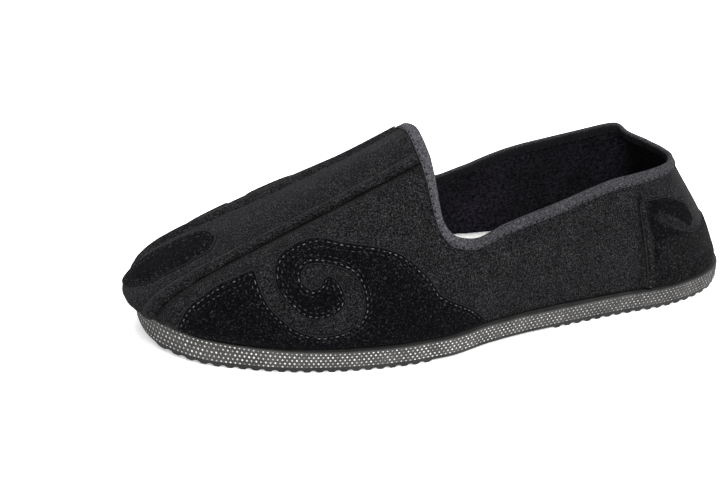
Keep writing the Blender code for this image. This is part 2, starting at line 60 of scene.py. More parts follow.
# How far the outsole stands out past that outline: station, lateral, medial
SOLE_FLARE = np.array([(0.0, 0.6, 0.6), (3.0, 2.2, 2.2), (10.0, 3.2, 3.0), (22.0, 2.6, 2.2), (40.0, 2.2, 1.2),
                       (60.0, 2.2, 0.3), (80.0, 2.8, 0.0), (98.0, 3.0, 0.0), (110.0, 2.6, 0.0),
                       (121.0, 2.2, 0.0), (132.0, 1.8, 0.0), (145.0, 0.9, 0.0), (156.0, 0.2, 0.0),
                       (162.0, 0.0, 0.0), (235.0, 0.0, 0.0), (255.0, 1.5, 0.0), (268.0, 1.6, 0.2),
                       (275.0, 0.6, 0.6)])
TREAD_SPRING = 2.6
TREAD_START = 0.85
RIB_PITCH = 5.2
RIB_CREST = 2.0
RIB_DEPTH = 1.0
RIB_RUNS = ((4.0, 98.0), (158.0, 271.0))
RIB_END = 1.4
OUTLINE_STEPS = 960
UNDER_COLUMNS = 14
# The side from the floor up, as height and inset: the ribbed rim, the studded band and the ledge
RIM_ROWS = ((0.0, 0.9), (0.25, 0.6), (0.6, 0.4), (1.2, 0.3), (2.4, 0.3), (2.8, 0.2), (3.1, 0.05))
STUD_BAND = (3.5, 9.5)
BAND_ROWS = 21
LEDGE_ROWS = ((9.9, 0.0), (10.25, 0.15), (10.5, 0.6))
RIM_TOP = 2.8
WALL_TOP = 10.0
# Heights of the side between which the tread's spring passes into that of the top
SPRING_BLEND = (3.2, 9.9)
# Studs are this many steps of the outline, or rows of the band, from one to the next
STUD_PITCH = 6
STUD_ROW = 5
STUD_SPACING = 2.0
STUD_HEIGHT = 0.45
STUD_RADIUS = 0.62
# Pale stud tips, partly dust and partly painted highlight: share of the outline from heel to toe, paleness
STUD_DUST_AND_GLINT = ((0.0, 0.12), (0.04, 0.25), (0.09, 0.68), (0.3, 0.8), (0.5, 1.0), (0.86, 1.0), (0.93, 0.75),
            (1.0, 0.5))
# Rubber marks: painted shade on the ledge, tread rim and underside; the wall darker over a stretch at the toe
LEDGE_SHADE_MARK = 0.02
WALL_MARK = 0.1
RIM_SHADE_MARK = 0.2
STUD_MARK = 0.9
TOE_MARK = 0.05
TOE_STRETCH = (0.86, 0.94)

sole_low, sole_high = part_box("outsole")
HEEL_BACK = np.array([sole_low[0] + 0.001 * SOLE_FLARE[0, 1],
                      sole_high[1] - 0.001 * SOLE_WIDTHS[:, 1].max(), 0.0])


def in_frame(points):
    """Millimetres along the shoe from the heel's back, turned into the frame's metres."""
    return np.asarray(points, float) * 0.001 + HEEL_BACK


def curve_through(stations, values, at):
    """Smooth curve through rows of values that doesn't swing past them."""
    stations, values, at = (np.asarray(item, float) for item in (stations, values, at))
    step = np.diff(stations)[:, None]
    rise = np.diff(values, axis=0) / step
    before = 2.0 * step[1:] + step[:-1]
    after = step[1:] + 2.0 * step[:-1]
    same_way = rise[:-1] * rise[1:] > 0.0
    weights = before / np.where(same_way, rise[:-1], 1.0) + after / np.where(same_way, rise[1:], 1.0)
    slope = np.concatenate([rise[:1], np.where(same_way, (before + after) / weights, 0.0), rise[-1:]])
    row = np.clip(np.searchsorted(stations, at, side="right") - 1, 0, len(stations) - 2)
    t = (at - stations[row])[:, None] / step[row]
    start = (1.0 + 2.0 * t) * (1.0 - t) ** 2 * values[row] + t * (1.0 - t) ** 2 * step[row] * slope[row]
    return start + t * t * (3.0 - 2.0 * t) * values[row + 1] + t * t * (t - 1.0) * step[row] * slope[row + 1]


def unit(vectors):
    """Vectors brought to length 1."""
    return vectors / np.linalg.norm(vectors, axis=-1, keepdims=True)


def run_along(path):
    """Length of a path up to each of its points."""
    return np.concatenate([[0.0], np.cumsum(np.linalg.norm(np.diff(path, axis=0), axis=1))])


def fade(value, start, end):
    """0 to 1 as a value goes from start to end."""
    return np.clip((value - start) / (end - start), 0.0, 1.0)


def spring(x, height=TOE_SPRING, start=SPRING_START):
    """Lift of the sole's top, or of the tread, towards the toe."""
    return height * np.clip((x / SOLE_LENGTH - start) / (1.0 - start), 0.0, None) ** 2


def half_width(x, side):
    """Half width of the sole, lateral for side 1 and medial for side -1."""
    ball = BALL_STATION[side]
    rows = SOLE_WIDTHS[SOLE_WIDTHS[:, 0] <= ball]
    widths = rows[:, 1:2] if side > 0 else rows[:, 2:3]
    middle = curve_through(rows[:, 0], widths, np.clip(x, HEEL_CAP, ball))[:, 0]
    heel = HEEL_HALF_WIDTH * np.sqrt(1.0 - (1.0 - np.clip(x, 0.0, HEEL_CAP) / HEEL_CAP) ** 2)
    toe_turn = fade(x, ball, SOLE_LENGTH)
    tip = side * TOE_TIP_Y
    toe = tip + (widths[-1, 0] - tip) * np.sqrt(np.clip(1.0 - toe_turn ** 2, 0.0, 1.0))
    return np.where(x < HEEL_CAP, heel, np.where(x > ball, toe, middle))


def half_outline(side, share, inset, flared=0.0):
    """One side of the sole's outline at shares of its length, set in, with the outward directions."""
    x = SOLE_LENGTH * (1.0 - np.cos(np.linspace(0.0, math.pi, 1601))) / 2.0
    line = np.column_stack([x, side * half_width(x, side)])
    along = unit(np.gradient(line, axis=0))
    outward = side * np.column_stack([-along[:, 1], along[:, 0]])
    outward[[0, -1]] = (-1.0, 0.0), (1.0, 0.0)
    flare = curve_through(SOLE_FLARE[:, 0], SOLE_FLARE[:, 1:], x)[:, [0 if side > 0 else 1]]
    line = line - (inset - flared * flare) * outward
    run = run_along(line)
    found = [np.interp(share, run / run[-1], column) for column in np.column_stack([line, outward]).T]
    return np.column_stack(found[:2]), unit(np.column_stack(found[2:]))


def tread_under(x):
    """Underside of the tread: flat crests at the floor, rounded grooves, and a plain raised waist."""
    height = np.full(np.shape(x), RIB_DEPTH)
    for start, end in RIB_RUNS:
        last = start + int((end - start - RIB_CREST) / RIB_PITCH) * RIB_PITCH + RIB_CREST
        groove = fade(np.mod(x - start, RIB_PITCH), RIB_CREST, RIB_PITCH)
        outside = np.maximum(np.maximum(start - x, x - last), 0.0)
        hollow = np.sin(math.pi * groove) ** 0.8
        ribbed = np.where(outside > 0.0, np.clip(outside / RIB_END, 0.0, 1.0), hollow)
        height = np.minimum(height, RIB_DEPTH * ribbed)
    return height


def make_piece(name, bm):
    """Object at the origin from a finished bmesh."""
    mesh = bpy.data.meshes.new(name)
    bm.to_mesh(mesh)
    bm.free()
    mesh.shade_smooth()
    item = bpy.data.objects.new(name, mesh)
    bpy.context.scene.collection.objects.link(item)
    return item


def lay_grid(name, points, marks=None, uv=False):
    """Object from a grid laid on points (rows, columns, xyz in millimetres); edges that meet are welded."""
    rows, columns = points.shape[:2]
    bm = bmesh.new()
    if uv:
        bm.loops.layers.uv.new("cloth")
    bmesh.ops.create_grid(bm, x_segments=columns - 1, y_segments=rows - 1, size=1.0, calc_uvs=uv)
    layer = bm.verts.layers.float.new("mark")
    shades = np.zeros(rows * columns) if marks is None else marks.ravel()
    for vert, place, shade in zip(bm.verts, in_frame(points.reshape(-1, 3)), shades):
        vert.co = place
        vert[layer] = shade
    bmesh.ops.remove_doubles(bm, verts=bm.verts, dist=2e-6)
    bmesh.ops.dissolve_degenerate(bm, edges=bm.edges, dist=1e-6)
    bmesh.ops.recalc_face_normals(bm, faces=bm.faces)
    return make_piece(name, bm)


def dress(item, material, slot, *nodes):
    """Give a piece its material and its body, and hide the solids that it stands for; the slot is not used.
    """
    item.data.materials.clear()
    item.data.materials.append(material)
    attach(item, "root")
    if nodes:
        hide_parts(*nodes)


def rgba(colour):
    """Opaque colour from red, green and blue, or from one number for a grey."""
    return (*(colour if isinstance(colour, tuple) else (colour,) * 3), 1.0)


def start_material(name, colour, roughness, specular=0.5):
    """Principled material with its fixed values set on the shader, and its Object coordinates."""
    material = bpy.data.materials.new(name)
    material.use_nodes = True
    tree = material.node_tree
    shader = tree.nodes["Principled BSDF"]
    shader.inputs["Base Color"].default_value = rgba(colour)
    shader.inputs["Roughness"].default_value = roughness
    shader.inputs["Specular IOR Level"].default_value = specular
    return material, tree, shader, tree.nodes.new("ShaderNodeTexCoord").outputs["Object"]


def add_node(tree, kind, source, socket="Vector", **values):
    """Node with an output linked to one of its inputs, and fixed values on others."""
    node = tree.nodes.new("ShaderNode" + kind)
    tree.links.new(source, node.inputs[socket])
    for name, value in values.items():
        node.inputs[name].default_value = value
    return node


def add_noise(tree, scale, detail, place):
    """Noise texture on a coordinate output."""
    return add_node(tree, "TexNoise", place, Scale=scale, Detail=detail).outputs["Fac"]


def add_ramp(tree, fac, stops):
    """Colour ramp: stops are (place, colour)."""
    ramp = add_node(tree, "ValToRGB", fac, "Fac")
    for index, (place, colour) in enumerate(stops):
        stop = ramp.color_ramp.elements[index] if index < 2 else ramp.color_ramp.elements.new(place)
        stop.position = place
        stop.color = rgba(colour)
    return ramp.outputs["Color"]


def add_mix(tree, fac, first, second, kind="MIX"):
    """Mix of two colours; each value is an output, or else a number or a colour."""
    mix = tree.nodes.new("ShaderNodeMix")
    mix.data_type = "RGBA"
    mix.blend_type = kind
    for name, value in (("Factor", fac), ("A", first), ("B", second)):
        if isinstance(value, bpy.types.NodeSocket):
            tree.links.new(value, mix.inputs[name])
        else:
            mix.inputs[name].default_value = value if name == "Factor" else rgba(value)
    return mix.outputs["Result"]


def multiply(tree, product, *others):
    """Product of colours."""
    for other in others:
        product = add_mix(tree, 1.0, product, other, "MULTIPLY")
    return product


def finish_surface(tree, shader, colour, height, strength, distance):
    """Give the shader its colour, and a bump from a height output."""
    tree.links.new(colour, shader.inputs["Base Color"])
    bump = add_node(tree, "Bump", height, "Height", Strength=strength, Distance=distance)
    tree.links.new(bump.outputs["Normal"], shader.inputs["Normal"])


def add_mark(tree, name):
    """A piece's own attribute."""
    mark = tree.nodes.new("ShaderNodeAttribute")
    mark.attribute_name = name
    return mark.outputs["Fac"]


share = np.linspace(0.0, 1.0, OUTLINE_STEPS + 1)
steps = np.arange(OUTLINE_STEPS + 1)
dust_and_glint = np.interp(share, *np.array(STUD_DUST_AND_GLINT).T)
at_toe = fade(share, *TOE_STRETCH)
band = np.linspace(*STUD_BAND, BAND_ROWS)
half_pitch, half_row = STUD_PITCH // 2, STUD_ROW // 2
side_rows = [*RIM_ROWS, *((height, 0.0) for height in band), *LEDGE_ROWS]
columns, marks = [], []
for side in (1, -1):
    for index in range(len(side_rows))[::side]:
        height, inset = side_rows[index]
        line, outward = half_outline(side, share, inset, 1.0)
        row = index - len(RIM_ROWS)
        stud = np.zeros(OUTLINE_STEPS + 1)
        if 0 <= row < BAND_ROWS:
            up_row = abs((row + half_row) % STUD_ROW - half_row) * (band[1] - band[0])
            shifted = steps + half_pitch * ((row + half_row) // STUD_ROW % 2)
            along_row = np.abs((shifted + half_pitch) % STUD_PITCH - half_pitch) * STUD_SPACING / STUD_PITCH
            stud = np.clip(1.0 - np.hypot(along_row, up_row) ** 2 / STUD_RADIUS ** 2, 0.0, 1.0)
        line = line + STUD_HEIGHT * stud[:, None] * outward
        level = height + tread_under(line[:, 0]) * (1.0 - min(height / RIM_TOP, 1.0))
        lift = spring(line[:, 0], TREAD_SPRING, TREAD_START)
        blend = fade(height, *SPRING_BLEND)
        lift = lift + blend * (spring(line[:, 0]) - lift)
        columns.append(np.column_stack([line, level + lift]))
        plain = WALL_MARK + TOE_MARK * at_toe
        # Painted shade: dark marks for the tread's rim and for the ledge under the felt
        if height <= RIM_TOP:
            plain = RIM_SHADE_MARK
        if height >= WALL_TOP:
            plain = LEDGE_SHADE_MARK
        # Stud tips are marked pale, partly dust and partly painted highlight
        marks.append(plain + STUD_MARK * stud * dust_and_glint)
medial_edge, lateral_edge = columns[-1], columns[0]
for place in np.linspace(0.0, 1.0, UNDER_COLUMNS + 1)[1:]:
    line = medial_edge[:, :2] * (1.0 - place) + lateral_edge[:, :2] * place
    lift = spring(line[:, 0], TREAD_SPRING, TREAD_START)
    columns.append(np.column_stack([line, tread_under(line[:, 0]) + lift]))
    # Painted shade on the underside
    marks.append(np.full(len(line), RIM_SHADE_MARK))
columns[-1] = lateral_edge
outsole = lay_grid("sole_rubber_moulding", np.stack(columns, axis=1), np.stack(marks, axis=1))

rubber, tree, shader, place = start_material("sole_rubber", 0.05, 0.6, 0.12)
mark = add_mark(tree, "mark")
dust = add_ramp(tree, add_noise(tree, 110.0, 5.0, place), ((0.3, 0.045), (0.75, (0.095, 0.094, 0.092))))
# Pale colour of the studs' tips, partly dust and partly painted highlight
pale_noise = add_ramp(tree, add_noise(tree, 420.0, 2.0, place),
                  ((0.35, (0.19, 0.185, 0.18)), (0.61, (0.84, 0.81, 0.78))))
# Painted shade from the marks: dark ledge, dark tread rim and underside; the studs' flanks come out darker
shade = add_ramp(tree, mark, ((0.0, 0.06), (0.07, 0.72), (0.13, 0.72), (0.2, 0.28), (0.4, 0.4)))
tips = add_ramp(tree, mark, ((0.42, 0.0), (0.9, 1.0)))
grain = add_noise(tree, 1500.0, 3.0, place)
finish_surface(tree, shader, add_mix(tree, tips, multiply(tree, dust, shade), pale_noise), grain, 0.25, 0.0003)
dress(outsole, rubber, "sole_rubber", "outsole")

# Insole. White cotton cloth over a thin board, lying loose on the outsole inside the upper; its edge is
# turned down and it dips a little where heel and ball press.
INSOLE_INSET = 5.2
INSOLE_FOOT = SOLE_THICKNESS + 0.3
INSOLE_THICKNESS = 5.2
# Edge from below, as height and inset
INSOLE_EDGE = ((0.0, 0.3), (1.6, 0.0), (3.2, 0.1), (4.0, 0.5), (INSOLE_THICKNESS, 1.3))
# Dips: station, half length, depth
INSOLE_DIPS = ((40.0, 26.0, 0.6), (190.0, 30.0, 0.5))


def bands(gap, rows):
    """Sum of soft bands, each with its place, half width and strength."""
    return sum(strength * np.exp(-((gap - place) / half) ** 2) for place, half, strength in rows)


share = np.linspace(0.0, 1.0, 121)
edge_rows = len(INSOLE_EDGE)
columns = []
for side in (1, -1):
    for height, inset in INSOLE_EDGE[::side]:
        line, _ = half_outline(side, share, INSOLE_INSET + inset)
        columns.append(np.column_stack([line, INSOLE_FOOT + height + spring(line[:, 0])]))
lateral_rim, medial_rim = columns[edge_rows - 1:edge_rows + 1]
top = []
for turn in np.linspace(0.0, 1.0, 19)[1:-1]:
    line = lateral_rim * (1.0 - turn) + medial_rim * turn
    line[:, 2] -= bands(line[:, 0], INSOLE_DIPS) * math.sin(math.pi * turn) ** 0.7
    top.append(line)
columns = columns[:edge_rows] + top + columns[edge_rows:] + columns[:1]
insole = lay_grid("insole_sock", np.stack(columns, axis=1))

cotton, tree, shader, place = start_material("insole_cotton", (0.78, 0.77, 0.74), 0.9)
weave = tree.nodes.new("ShaderNodeMath")
weave.operation = "MULTIPLY"
for socket, direction in zip(weave.inputs, ("X", "Y")):
    wave = add_node(tree, "TexWave", place, Scale=260.0, Distortion=0.6)
    wave.bands_direction = direction
    tree.links.new(wave.outputs["Fac"], socket)
pale_noise = add_ramp(tree, add_noise(tree, 40.0, 4.0, place),
                  ((0.3, (0.80, 0.79, 0.77)), (0.7, (0.92, 0.915, 0.905))))
finish_surface(tree, shader, pale_noise, weave.outputs["Value"], 0.4, 0.0004)
dress(insole, cotton, "insole_cotton", "insole")

# Upper. Black wool felt, two side panels and a centre strip, pulled over a last and turned in under the foot.
# Seams join strip and panels, and the cloth sinks beside them and puckers where it is lasted to the sole.
FEATHER_INSET = 2.0
FEATHER_GAP = 0.3
FELT_WALL = 1.3
UPPER_WALL = 2.4
# From heel back to toe: lateral and medial share of the outline, lateral collar x y z, medial collar x y z,
# then bulge and rise of the wall, reach and drop of the roof, and the swell above the sole
UPPER_RIBS = np.array([
    (0.000, 0.000, 27.0, 0.0, 62.2, 27.0, 0.0, 62.2, 2.8, 12.7, 8.2, 15.7, 1.5),
    (0.050, 0.050, 32.0, 12.0, 64.2, 31.5, 10.5, 63.4, 2.8, 12.7, 8.2, 15.7, 1.5),
    (0.090, 0.090, 39.0, 20.2, 66.0, 38.5, 18.5, 65.4, 3.2, 13.2, 7.9, 15.9, 1.3),
    (0.155, 0.160, 49.0, 25.5, 66.6, 44.5, 22.6, 69.0, 3.9, 15.3, 6.1, 16.9, 0.7),
    (0.245, 0.255, 66.0, 29.5, 66.3, 66.0, 25.5, 65.1, 4.0, 18.0, 3.0, 18.0, 0.0),
    (0.345, 0.358, 97.0, 33.0, 59.0, 97.0, 27.0, 59.5, 4.0, 16.0, 3.0, 15.0, 0.0),
    (0.427, 0.442, 119.0, 35.3, 53.9, 119.0, 27.5, 52.4, 4.0, 14.0, 3.0, 13.0, 0.0),
    (0.485, 0.503, 134.0, 36.3, 48.8, 134.0, 29.0, 48.1, 4.0, 13.0, 4.0, 11.0, 0.0),
    (0.543, 0.558, 142.3, 35.3, 50.2, 142.3, 30.3, 50.2, 4.0, 14.0, 5.0, 11.0, 0.0),
    (0.597, 0.615, 148.4, 32.5, 58.3, 148.4, 30.0, 58.3, 4.0, 16.0, 9.0, 11.0, 0.0),
    (0.670, 0.690, 149.8, 28.0, 68.5, 149.8, 27.5, 68.5, 4.5, 19.0, 20.0, 13.0, 0.0),
    (0.752, 0.772, 150.3, 22.5, 77.0, 150.3, 22.5, 77.0, 7.0, 21.0, 38.0, 19.0, 1.0),
    (0.860, 0.885, 150.6, 18.5, 81.0, 150.6, 18.5, 81.0, 16.0, 21.0, 64.0, 31.0, 3.2),
    (0.935, 0.957, 150.8, 15.8, 82.5, 150.8, 15.8, 82.5, 20.5, 17.0, 82.0, 41.0, 5.5),
    (0.985, 1.015, 151.0, 0.0, 87.0, 151.0, 0.0, 87.0, 21.0, 12.0, 88.0, 46.0, 5.5),
])
SWELL_POWER = 18
SHOE_MIDDLE = (140.0, 0.0, 20.0)
# Lines of the felt's grid from rib to rib, more about the beams, and rows up each line
FELT_LINES = 12
BEAM_LINES = 36
FELT_ROWS = 85
# Heights v between which the relief comes in below the collar
COLLAR_FADE = (0.985, 0.905)
TOE_RIB = len(UPPER_RIBS) - 1
BEAM_RIBS = (TOE_RIB - 1.0, TOE_RIB + 1.0)
CREASE_AT = 2.9
SEAM_RIBS = (3.55, 2.0 * TOE_RIB - 3.55)
SEAM_TOP = 0.82
# Soft bands beside a beam's line and a heel seam: distance, half width, trough depth or strength of painted
# shade
STRIP_TROUGHS = ((CREASE_AT + 1.0, 2.2, 0.3),)
PANEL_TROUGHS = ((CREASE_AT + 1.0, 2.2, 0.6), (CREASE_AT, 1.1, 0.4))
# Painted shade: dark bands in the creases beside the beams, in front of the heel patch and just above the
# sole
STRIP_SHADE = ((3.6, 0.7, 0.5),)
PANEL_SHADE = ((CREASE_AT, 1.0, 0.5), (CREASE_AT, 3.4, 0.5))
HEEL_GROOVE_SHADE = ((0.0, 1.2, 0.9),)
FEATHER_SHADE = ((0.0, 0.025, 1.0),)
# Puckers of the lasted cloth at both ends: height, waves a radian, height v at which they fade
PUCKERS = (0.22, 95.0, 0.08)
PUCKER_MIDDLE = 130.0
PUCKER_REACH = 110.0
PUCKER_PLAIN = 0.55
# The cloth bulges over the flared sole on the lateral side: place and half width in v, share of the flare
BULGE = ((0.02, 0.09, 0.8),)
BULGE_MOST = 2.4
BULGE_END = 200.0
BULGE_START = 12.0
# Soft folds of the worn cloth: start, end, half width, depth (a negative depth is a ridge)
FOLDS = (
    ((150.0, 46.0, 30.0), (166.0, 40.0, 50.0), 7.0, 0.7),
    ((62.0, 33.0, 44.0), (112.0, 37.0, 40.0), 9.0, 0.6),
    ((30.0, 24.0, 40.0), (44.0, 28.0, 58.0), 5.0, 0.6),
    ((158.0, 28.0, 68.0), (196.0, 30.0, 56.0), 6.0, 0.5),
    ((60.0, -31.0, 46.0), (108.0, -32.0, 40.0), 9.0, 0.6),
    ((150.0, -38.0, 32.0), (168.0, -36.0, 50.0), 7.0, 0.7),
)


def feather_line(share):
    """Feather line, 0 to 1 along the lateral side and on to 2 back along the medial side."""
    share = np.mod(share, 2.0)
    lateral = half_outline(1, np.clip(share, 0.0, 1.0), FEATHER_INSET)
    medial = half_outline(-1, np.clip(2.0 - share, 0.0, 1.0), FEATHER_INSET)
    here = (share <= 1.0)[:, None]
    return np.where(here, lateral[0], medial[0]), np.where(here, lateral[1], medial[1])


lateral_rows = np.delete(UPPER_RIBS, (1, 5, 6, 7), axis=1)
medial_rows = np.delete(UPPER_RIBS, (0, 2, 3, 4), axis=1)
medial_rows[:, 0] = 2.0 - medial_rows[:, 0]
medial_rows[:, 2] *= -1.0
LOOP_ROWS = np.concatenate([lateral_rows, medial_rows[-2:0:-1]])
LOOP = len(LOOP_ROWS)


def rib_points(places, v):
    """Plain outer face of the upper: places in ribs round the loop, v from feather (0) to collar (1)."""
    lap = np.array([2.0] + [0.0] * (LOOP_ROWS.shape[1] - 1))
    laps = np.concatenate([LOOP_ROWS - lap, LOOP_ROWS, LOOP_ROWS + lap])
    share, collar_x, collar_y, collar_z, bulge, rise, reach, drop, swell = curve_through(
        np.arange(-LOOP, 2 * LOOP), laps, places).T
    feather, outward = feather_line(share)
    foot = np.column_stack([feather, SOLE_THICKNESS + FEATHER_GAP + spring(feather[:, 0])])
    wall = foot + np.column_stack([outward * bulge[:, None], rise])
    collar = np.column_stack([collar_x, collar_y, collar_z])
    away = unit(feather - collar[:, :2])
    roof = collar + np.column_stack([away * reach[:, None], -drop])
    push = np.column_stack([outward * swell[:, None], np.zeros(len(places))])
    t = v[:, :, None]
    peak = (SWELL_POWER + 1) * (1.0 + 1.0 / SWELL_POWER) ** SWELL_POWER
    return ((1 - t) ** 3 * foot[:, None] + 3 * t * (1 - t) ** 2 * wall[:, None]
            + 3 * t * t * (1 - t) * roof[:, None] + t ** 3 * collar[:, None]
            + peak * t * (1 - t) ** SWELL_POWER * push[:, None])


def face_normals(places, v):
    """Outward directions of the plain face."""
    small = 0.01
    across = rib_points(places + small, v) - rib_points(places - small, v)
    up = rib_points(places, np.minimum(v + small, 1.0)) - rib_points(places, np.maximum(v - small, 0.0))
    return unit(np.cross(up, across))


def gap_to_path(points, path):
    """Distance of each point from a path of close points."""
    flat = points.reshape(-1, path.shape[1])
    nearest = np.full(len(flat), 1e9)
    for start in range(0, len(path), 50):
        gap = np.linalg.norm(flat[:, None, :] - path[None, start:start + 50, :], axis=2)
        nearest = np.minimum(nearest, gap.min(axis=1))
    return nearest.reshape(points.shape[:-1])


def rib_line(rib, top=1.0, count=400):
    """Close points up one rib."""
    return rib_points(np.array([rib]), np.linspace(0.0, top, count)[None, :])[0]


def beside_beams(points, places, strip_rows, panel_rows):
    """Soft bands beside both beams, some on the strip between them and others on the side panels."""
    on_strip = ((places > BEAM_RIBS[0]) & (places < BEAM_RIBS[1]))[:, None]
    gaps = [gap_to_path(points, rib_line(rib)) for rib in BEAM_RIBS]
    return sum(np.where(on_strip, bands(gap, strip_rows), bands(gap, panel_rows)) for gap in gaps)


def fold_depth(points, start, end, half, depth):
    """Soft trough along a straight fold, fading out at both ends."""
    start, end = np.array(start), np.array(end)
    along = end - start
    place = np.clip(((points - start) @ along) / (along @ along), 0.0, 1.0)
    gap = np.linalg.norm(points - start - place[..., None] * along, axis=-1)
    return -depth * np.exp(-(gap / half) ** 2) * (0.35 + 0.65 * np.sin(math.pi * place))


def felt_relief(points, places, v):
    """Height of the felt over its plain face: troughs, soft folds, puckers and the bulge over the sole."""
    x, y = points[..., 0], points[..., 1]
    height = sum(fold_depth(points, *fold) for fold in FOLDS)
    height = height - beside_beams(points, places, STRIP_TROUGHS, PANEL_TROUGHS)
    height *= fade(v, *COLLAR_FADE)
    ends = np.clip(np.abs(x - PUCKER_MIDDLE) / PUCKER_REACH - PUCKER_PLAIN, 0.0, 1.0)
    turn = np.arctan2(y, x - SOLE_LENGTH / 2.0)
    pucker, waves, fall = PUCKERS
    height += pucker * ends * np.exp(-v / fall) * np.sin(turn * waves) * (v > 0.0)
    stations = np.clip(x.ravel(), 0.0, SOLE_LENGTH)
    flare = curve_through(SOLE_FLARE[:, 0], SOLE_FLARE[:, 1:2], stations).reshape(x.shape)
    over = np.minimum(flare, BULGE_MOST) * (y > 0.0) * (x < BULGE_END)
    return height + over * bands(v, BULGE) * np.clip(x / BULGE_START, 0.2, 1.0)


def painted_shade_marks(points, places, v):
    """Painted shade on the felt: in the creases outside the beams, in the groove in front of the heel patch
    and along the sole.
    """
    mark = bands(v, FEATHER_SHADE) + beside_beams(points, places, STRIP_SHADE, PANEL_SHADE)
    for rib in SEAM_RIBS:
        mark += bands(gap_to_path(points, rib_line(rib, SEAM_TOP, 300)), HEEL_GROOVE_SHADE)
    return np.clip(mark, 0.0, 1.0)


def felt_face(places, v, out=0.0):
    """Felt surface with its relief, raised by a distance, and its plain normals."""
    points = rib_points(places, v)
    normal = face_normals(places, v)
    return points + (felt_relief(points, places, v) + out)[..., None] * normal, normal


def height_below_collar(places, distance):
    """Height v of each rib at a distance below the collar, measured along the rib."""
    fine = np.linspace(1.0, 0.4, 241)
    points = rib_points(places, np.tile(fine, (len(places), 1)))
    run = np.cumsum(np.linalg.norm(np.diff(points, axis=1), axis=2), axis=1)
    run = np.concatenate([np.zeros((len(places), 1)), run], axis=1)
    return np.array([np.interp(distance, row, fine) for row in run])


middle = Vector(in_frame(SHOE_MIDDLE))


def face_from_middle(item, way):
    """Turn a sheet's faces away from the middle of the shoe (way 1) or towards it (way -1)."""
    if way * sum((face.center - middle).dot(face.normal) for face in item.data.polygons) < 0.0:
        item.data.flip_normals()


def thicken(item, thickness):
    """Give a sheet its thickness in millimetres, behind its face."""
    wall = item.modifiers.new("wall", "SOLIDIFY")
    wall.thickness = 0.001 * thickness
    wall.offset = -1.0


lines = []
for rib in range(2 * TOE_RIB):
    count = BEAM_LINES if TOE_RIB - 2 <= rib < TOE_RIB + 2 else FELT_LINES
    lines.append(rib + np.arange(count) / count)
felt_lines = np.concatenate(lines + [[2.0 * TOE_RIB]])
felt_rows = np.tile(np.linspace(0.0, 1.0, FELT_ROWS) ** 1.1, (len(felt_lines), 1))
points, _ = felt_face(felt_lines, felt_rows)
upper = lay_grid("upper_felt_shell", points, painted_shade_marks(points, felt_lines, felt_rows))
bm = bmesh.new()
bm.from_mesh(upper.data)
felt_sheet = BVHTree.FromBMesh(bm)
bm.free()
face_from_middle(upper, 1)
thicken(upper, FELT_WALL)


def add_sheen(shader, weight, roughness, tint):
    """Sheen of a nap."""
    shader.inputs["Sheen Weight"].default_value = weight
    shader.inputs["Sheen Roughness"].default_value = roughness
    shader.inputs["Sheen Tint"].default_value = rgba(tint)


felt, tree, shader, place = start_material("upper_felt", (0.01, 0.01, 0.011), 0.95, 0.05)
add_sheen(shader, 0.03, 0.5, (0.55, 0.55, 0.58))
fibres = add_noise(tree, 1700.0, 3.0, place)
speckle = add_ramp(tree, fibres, ((0.39, 0.0005), (0.52, (0.0070, 0.0070, 0.0077)),
                                  (0.66, (0.0275, 0.0275, 0.0288))))
mottle = add_ramp(tree, add_noise(tree, 130.0, 5.0, place), ((0.3, (0.72, 0.72, 0.74)), (0.7, 1.2)))
# Painted shade from the mark darkens the felt in those creases and along the sole
crease_shade = add_ramp(tree, add_mark(tree, "mark"), ((0.05, 1.0), (0.9, 0.12)))
finish_surface(tree, shader, multiply(tree, speckle, mottle, crease_shade), fibres, 0.6, 0.0005)
dress(upper, felt, "upper_felt", "upper")

# Beams. Two folds of the same felt, sewn where strip and side panels meet and rolled outward, so that each
# has a long slope towards the strip and a steeper one on its outer side, where the felt has painted shade.
BEAM_WALL = 0.4
BEAM_END = 4.6
BEAM_START = 0.02
BEAM_STEPS = 170
# Ripple along the fold: width, turn a step. Steps from the toe between which the fold rises
BEAM_RIPPLE = (0.15, 0.35)
BEAM_TAPER = (-8.0, 32.0)
# How much wider than drawn here the section is at the toe, and how much is lost towards the throat
BEAM_SPREAD = (1.25, 0.3)
# Across the seam (outer side positive) and height
BEAM_SECTION = ((-3.9, -0.2), (-3.2, 0.15), (-2.4, 0.7), (-1.6, 1.2), (-0.6, 1.6), (0.4, 1.7), (1.3, 1.5),
                (2.0, 1.05), (2.4, 0.55), (2.7, 0.05), (2.8, -0.5))


def on_felt(points):
    """Nearest places on the felt and its outward normals, in millimetres."""
    spots, normals = [], []
    for point in in_frame(points):
        spot, normal, _, _ = felt_sheet.find_nearest(Vector(point))
        spots.append((np.array(spot) - HEEL_BACK) * 1000.0)
        normals.append(np.array(normal))
    spots, normals = np.array(spots), np.array(normals)
    inside = ((spots - SHOE_MIDDLE) * normals).sum(axis=1) < 0.0
    normals[inside] *= -1.0
    return spots, normals


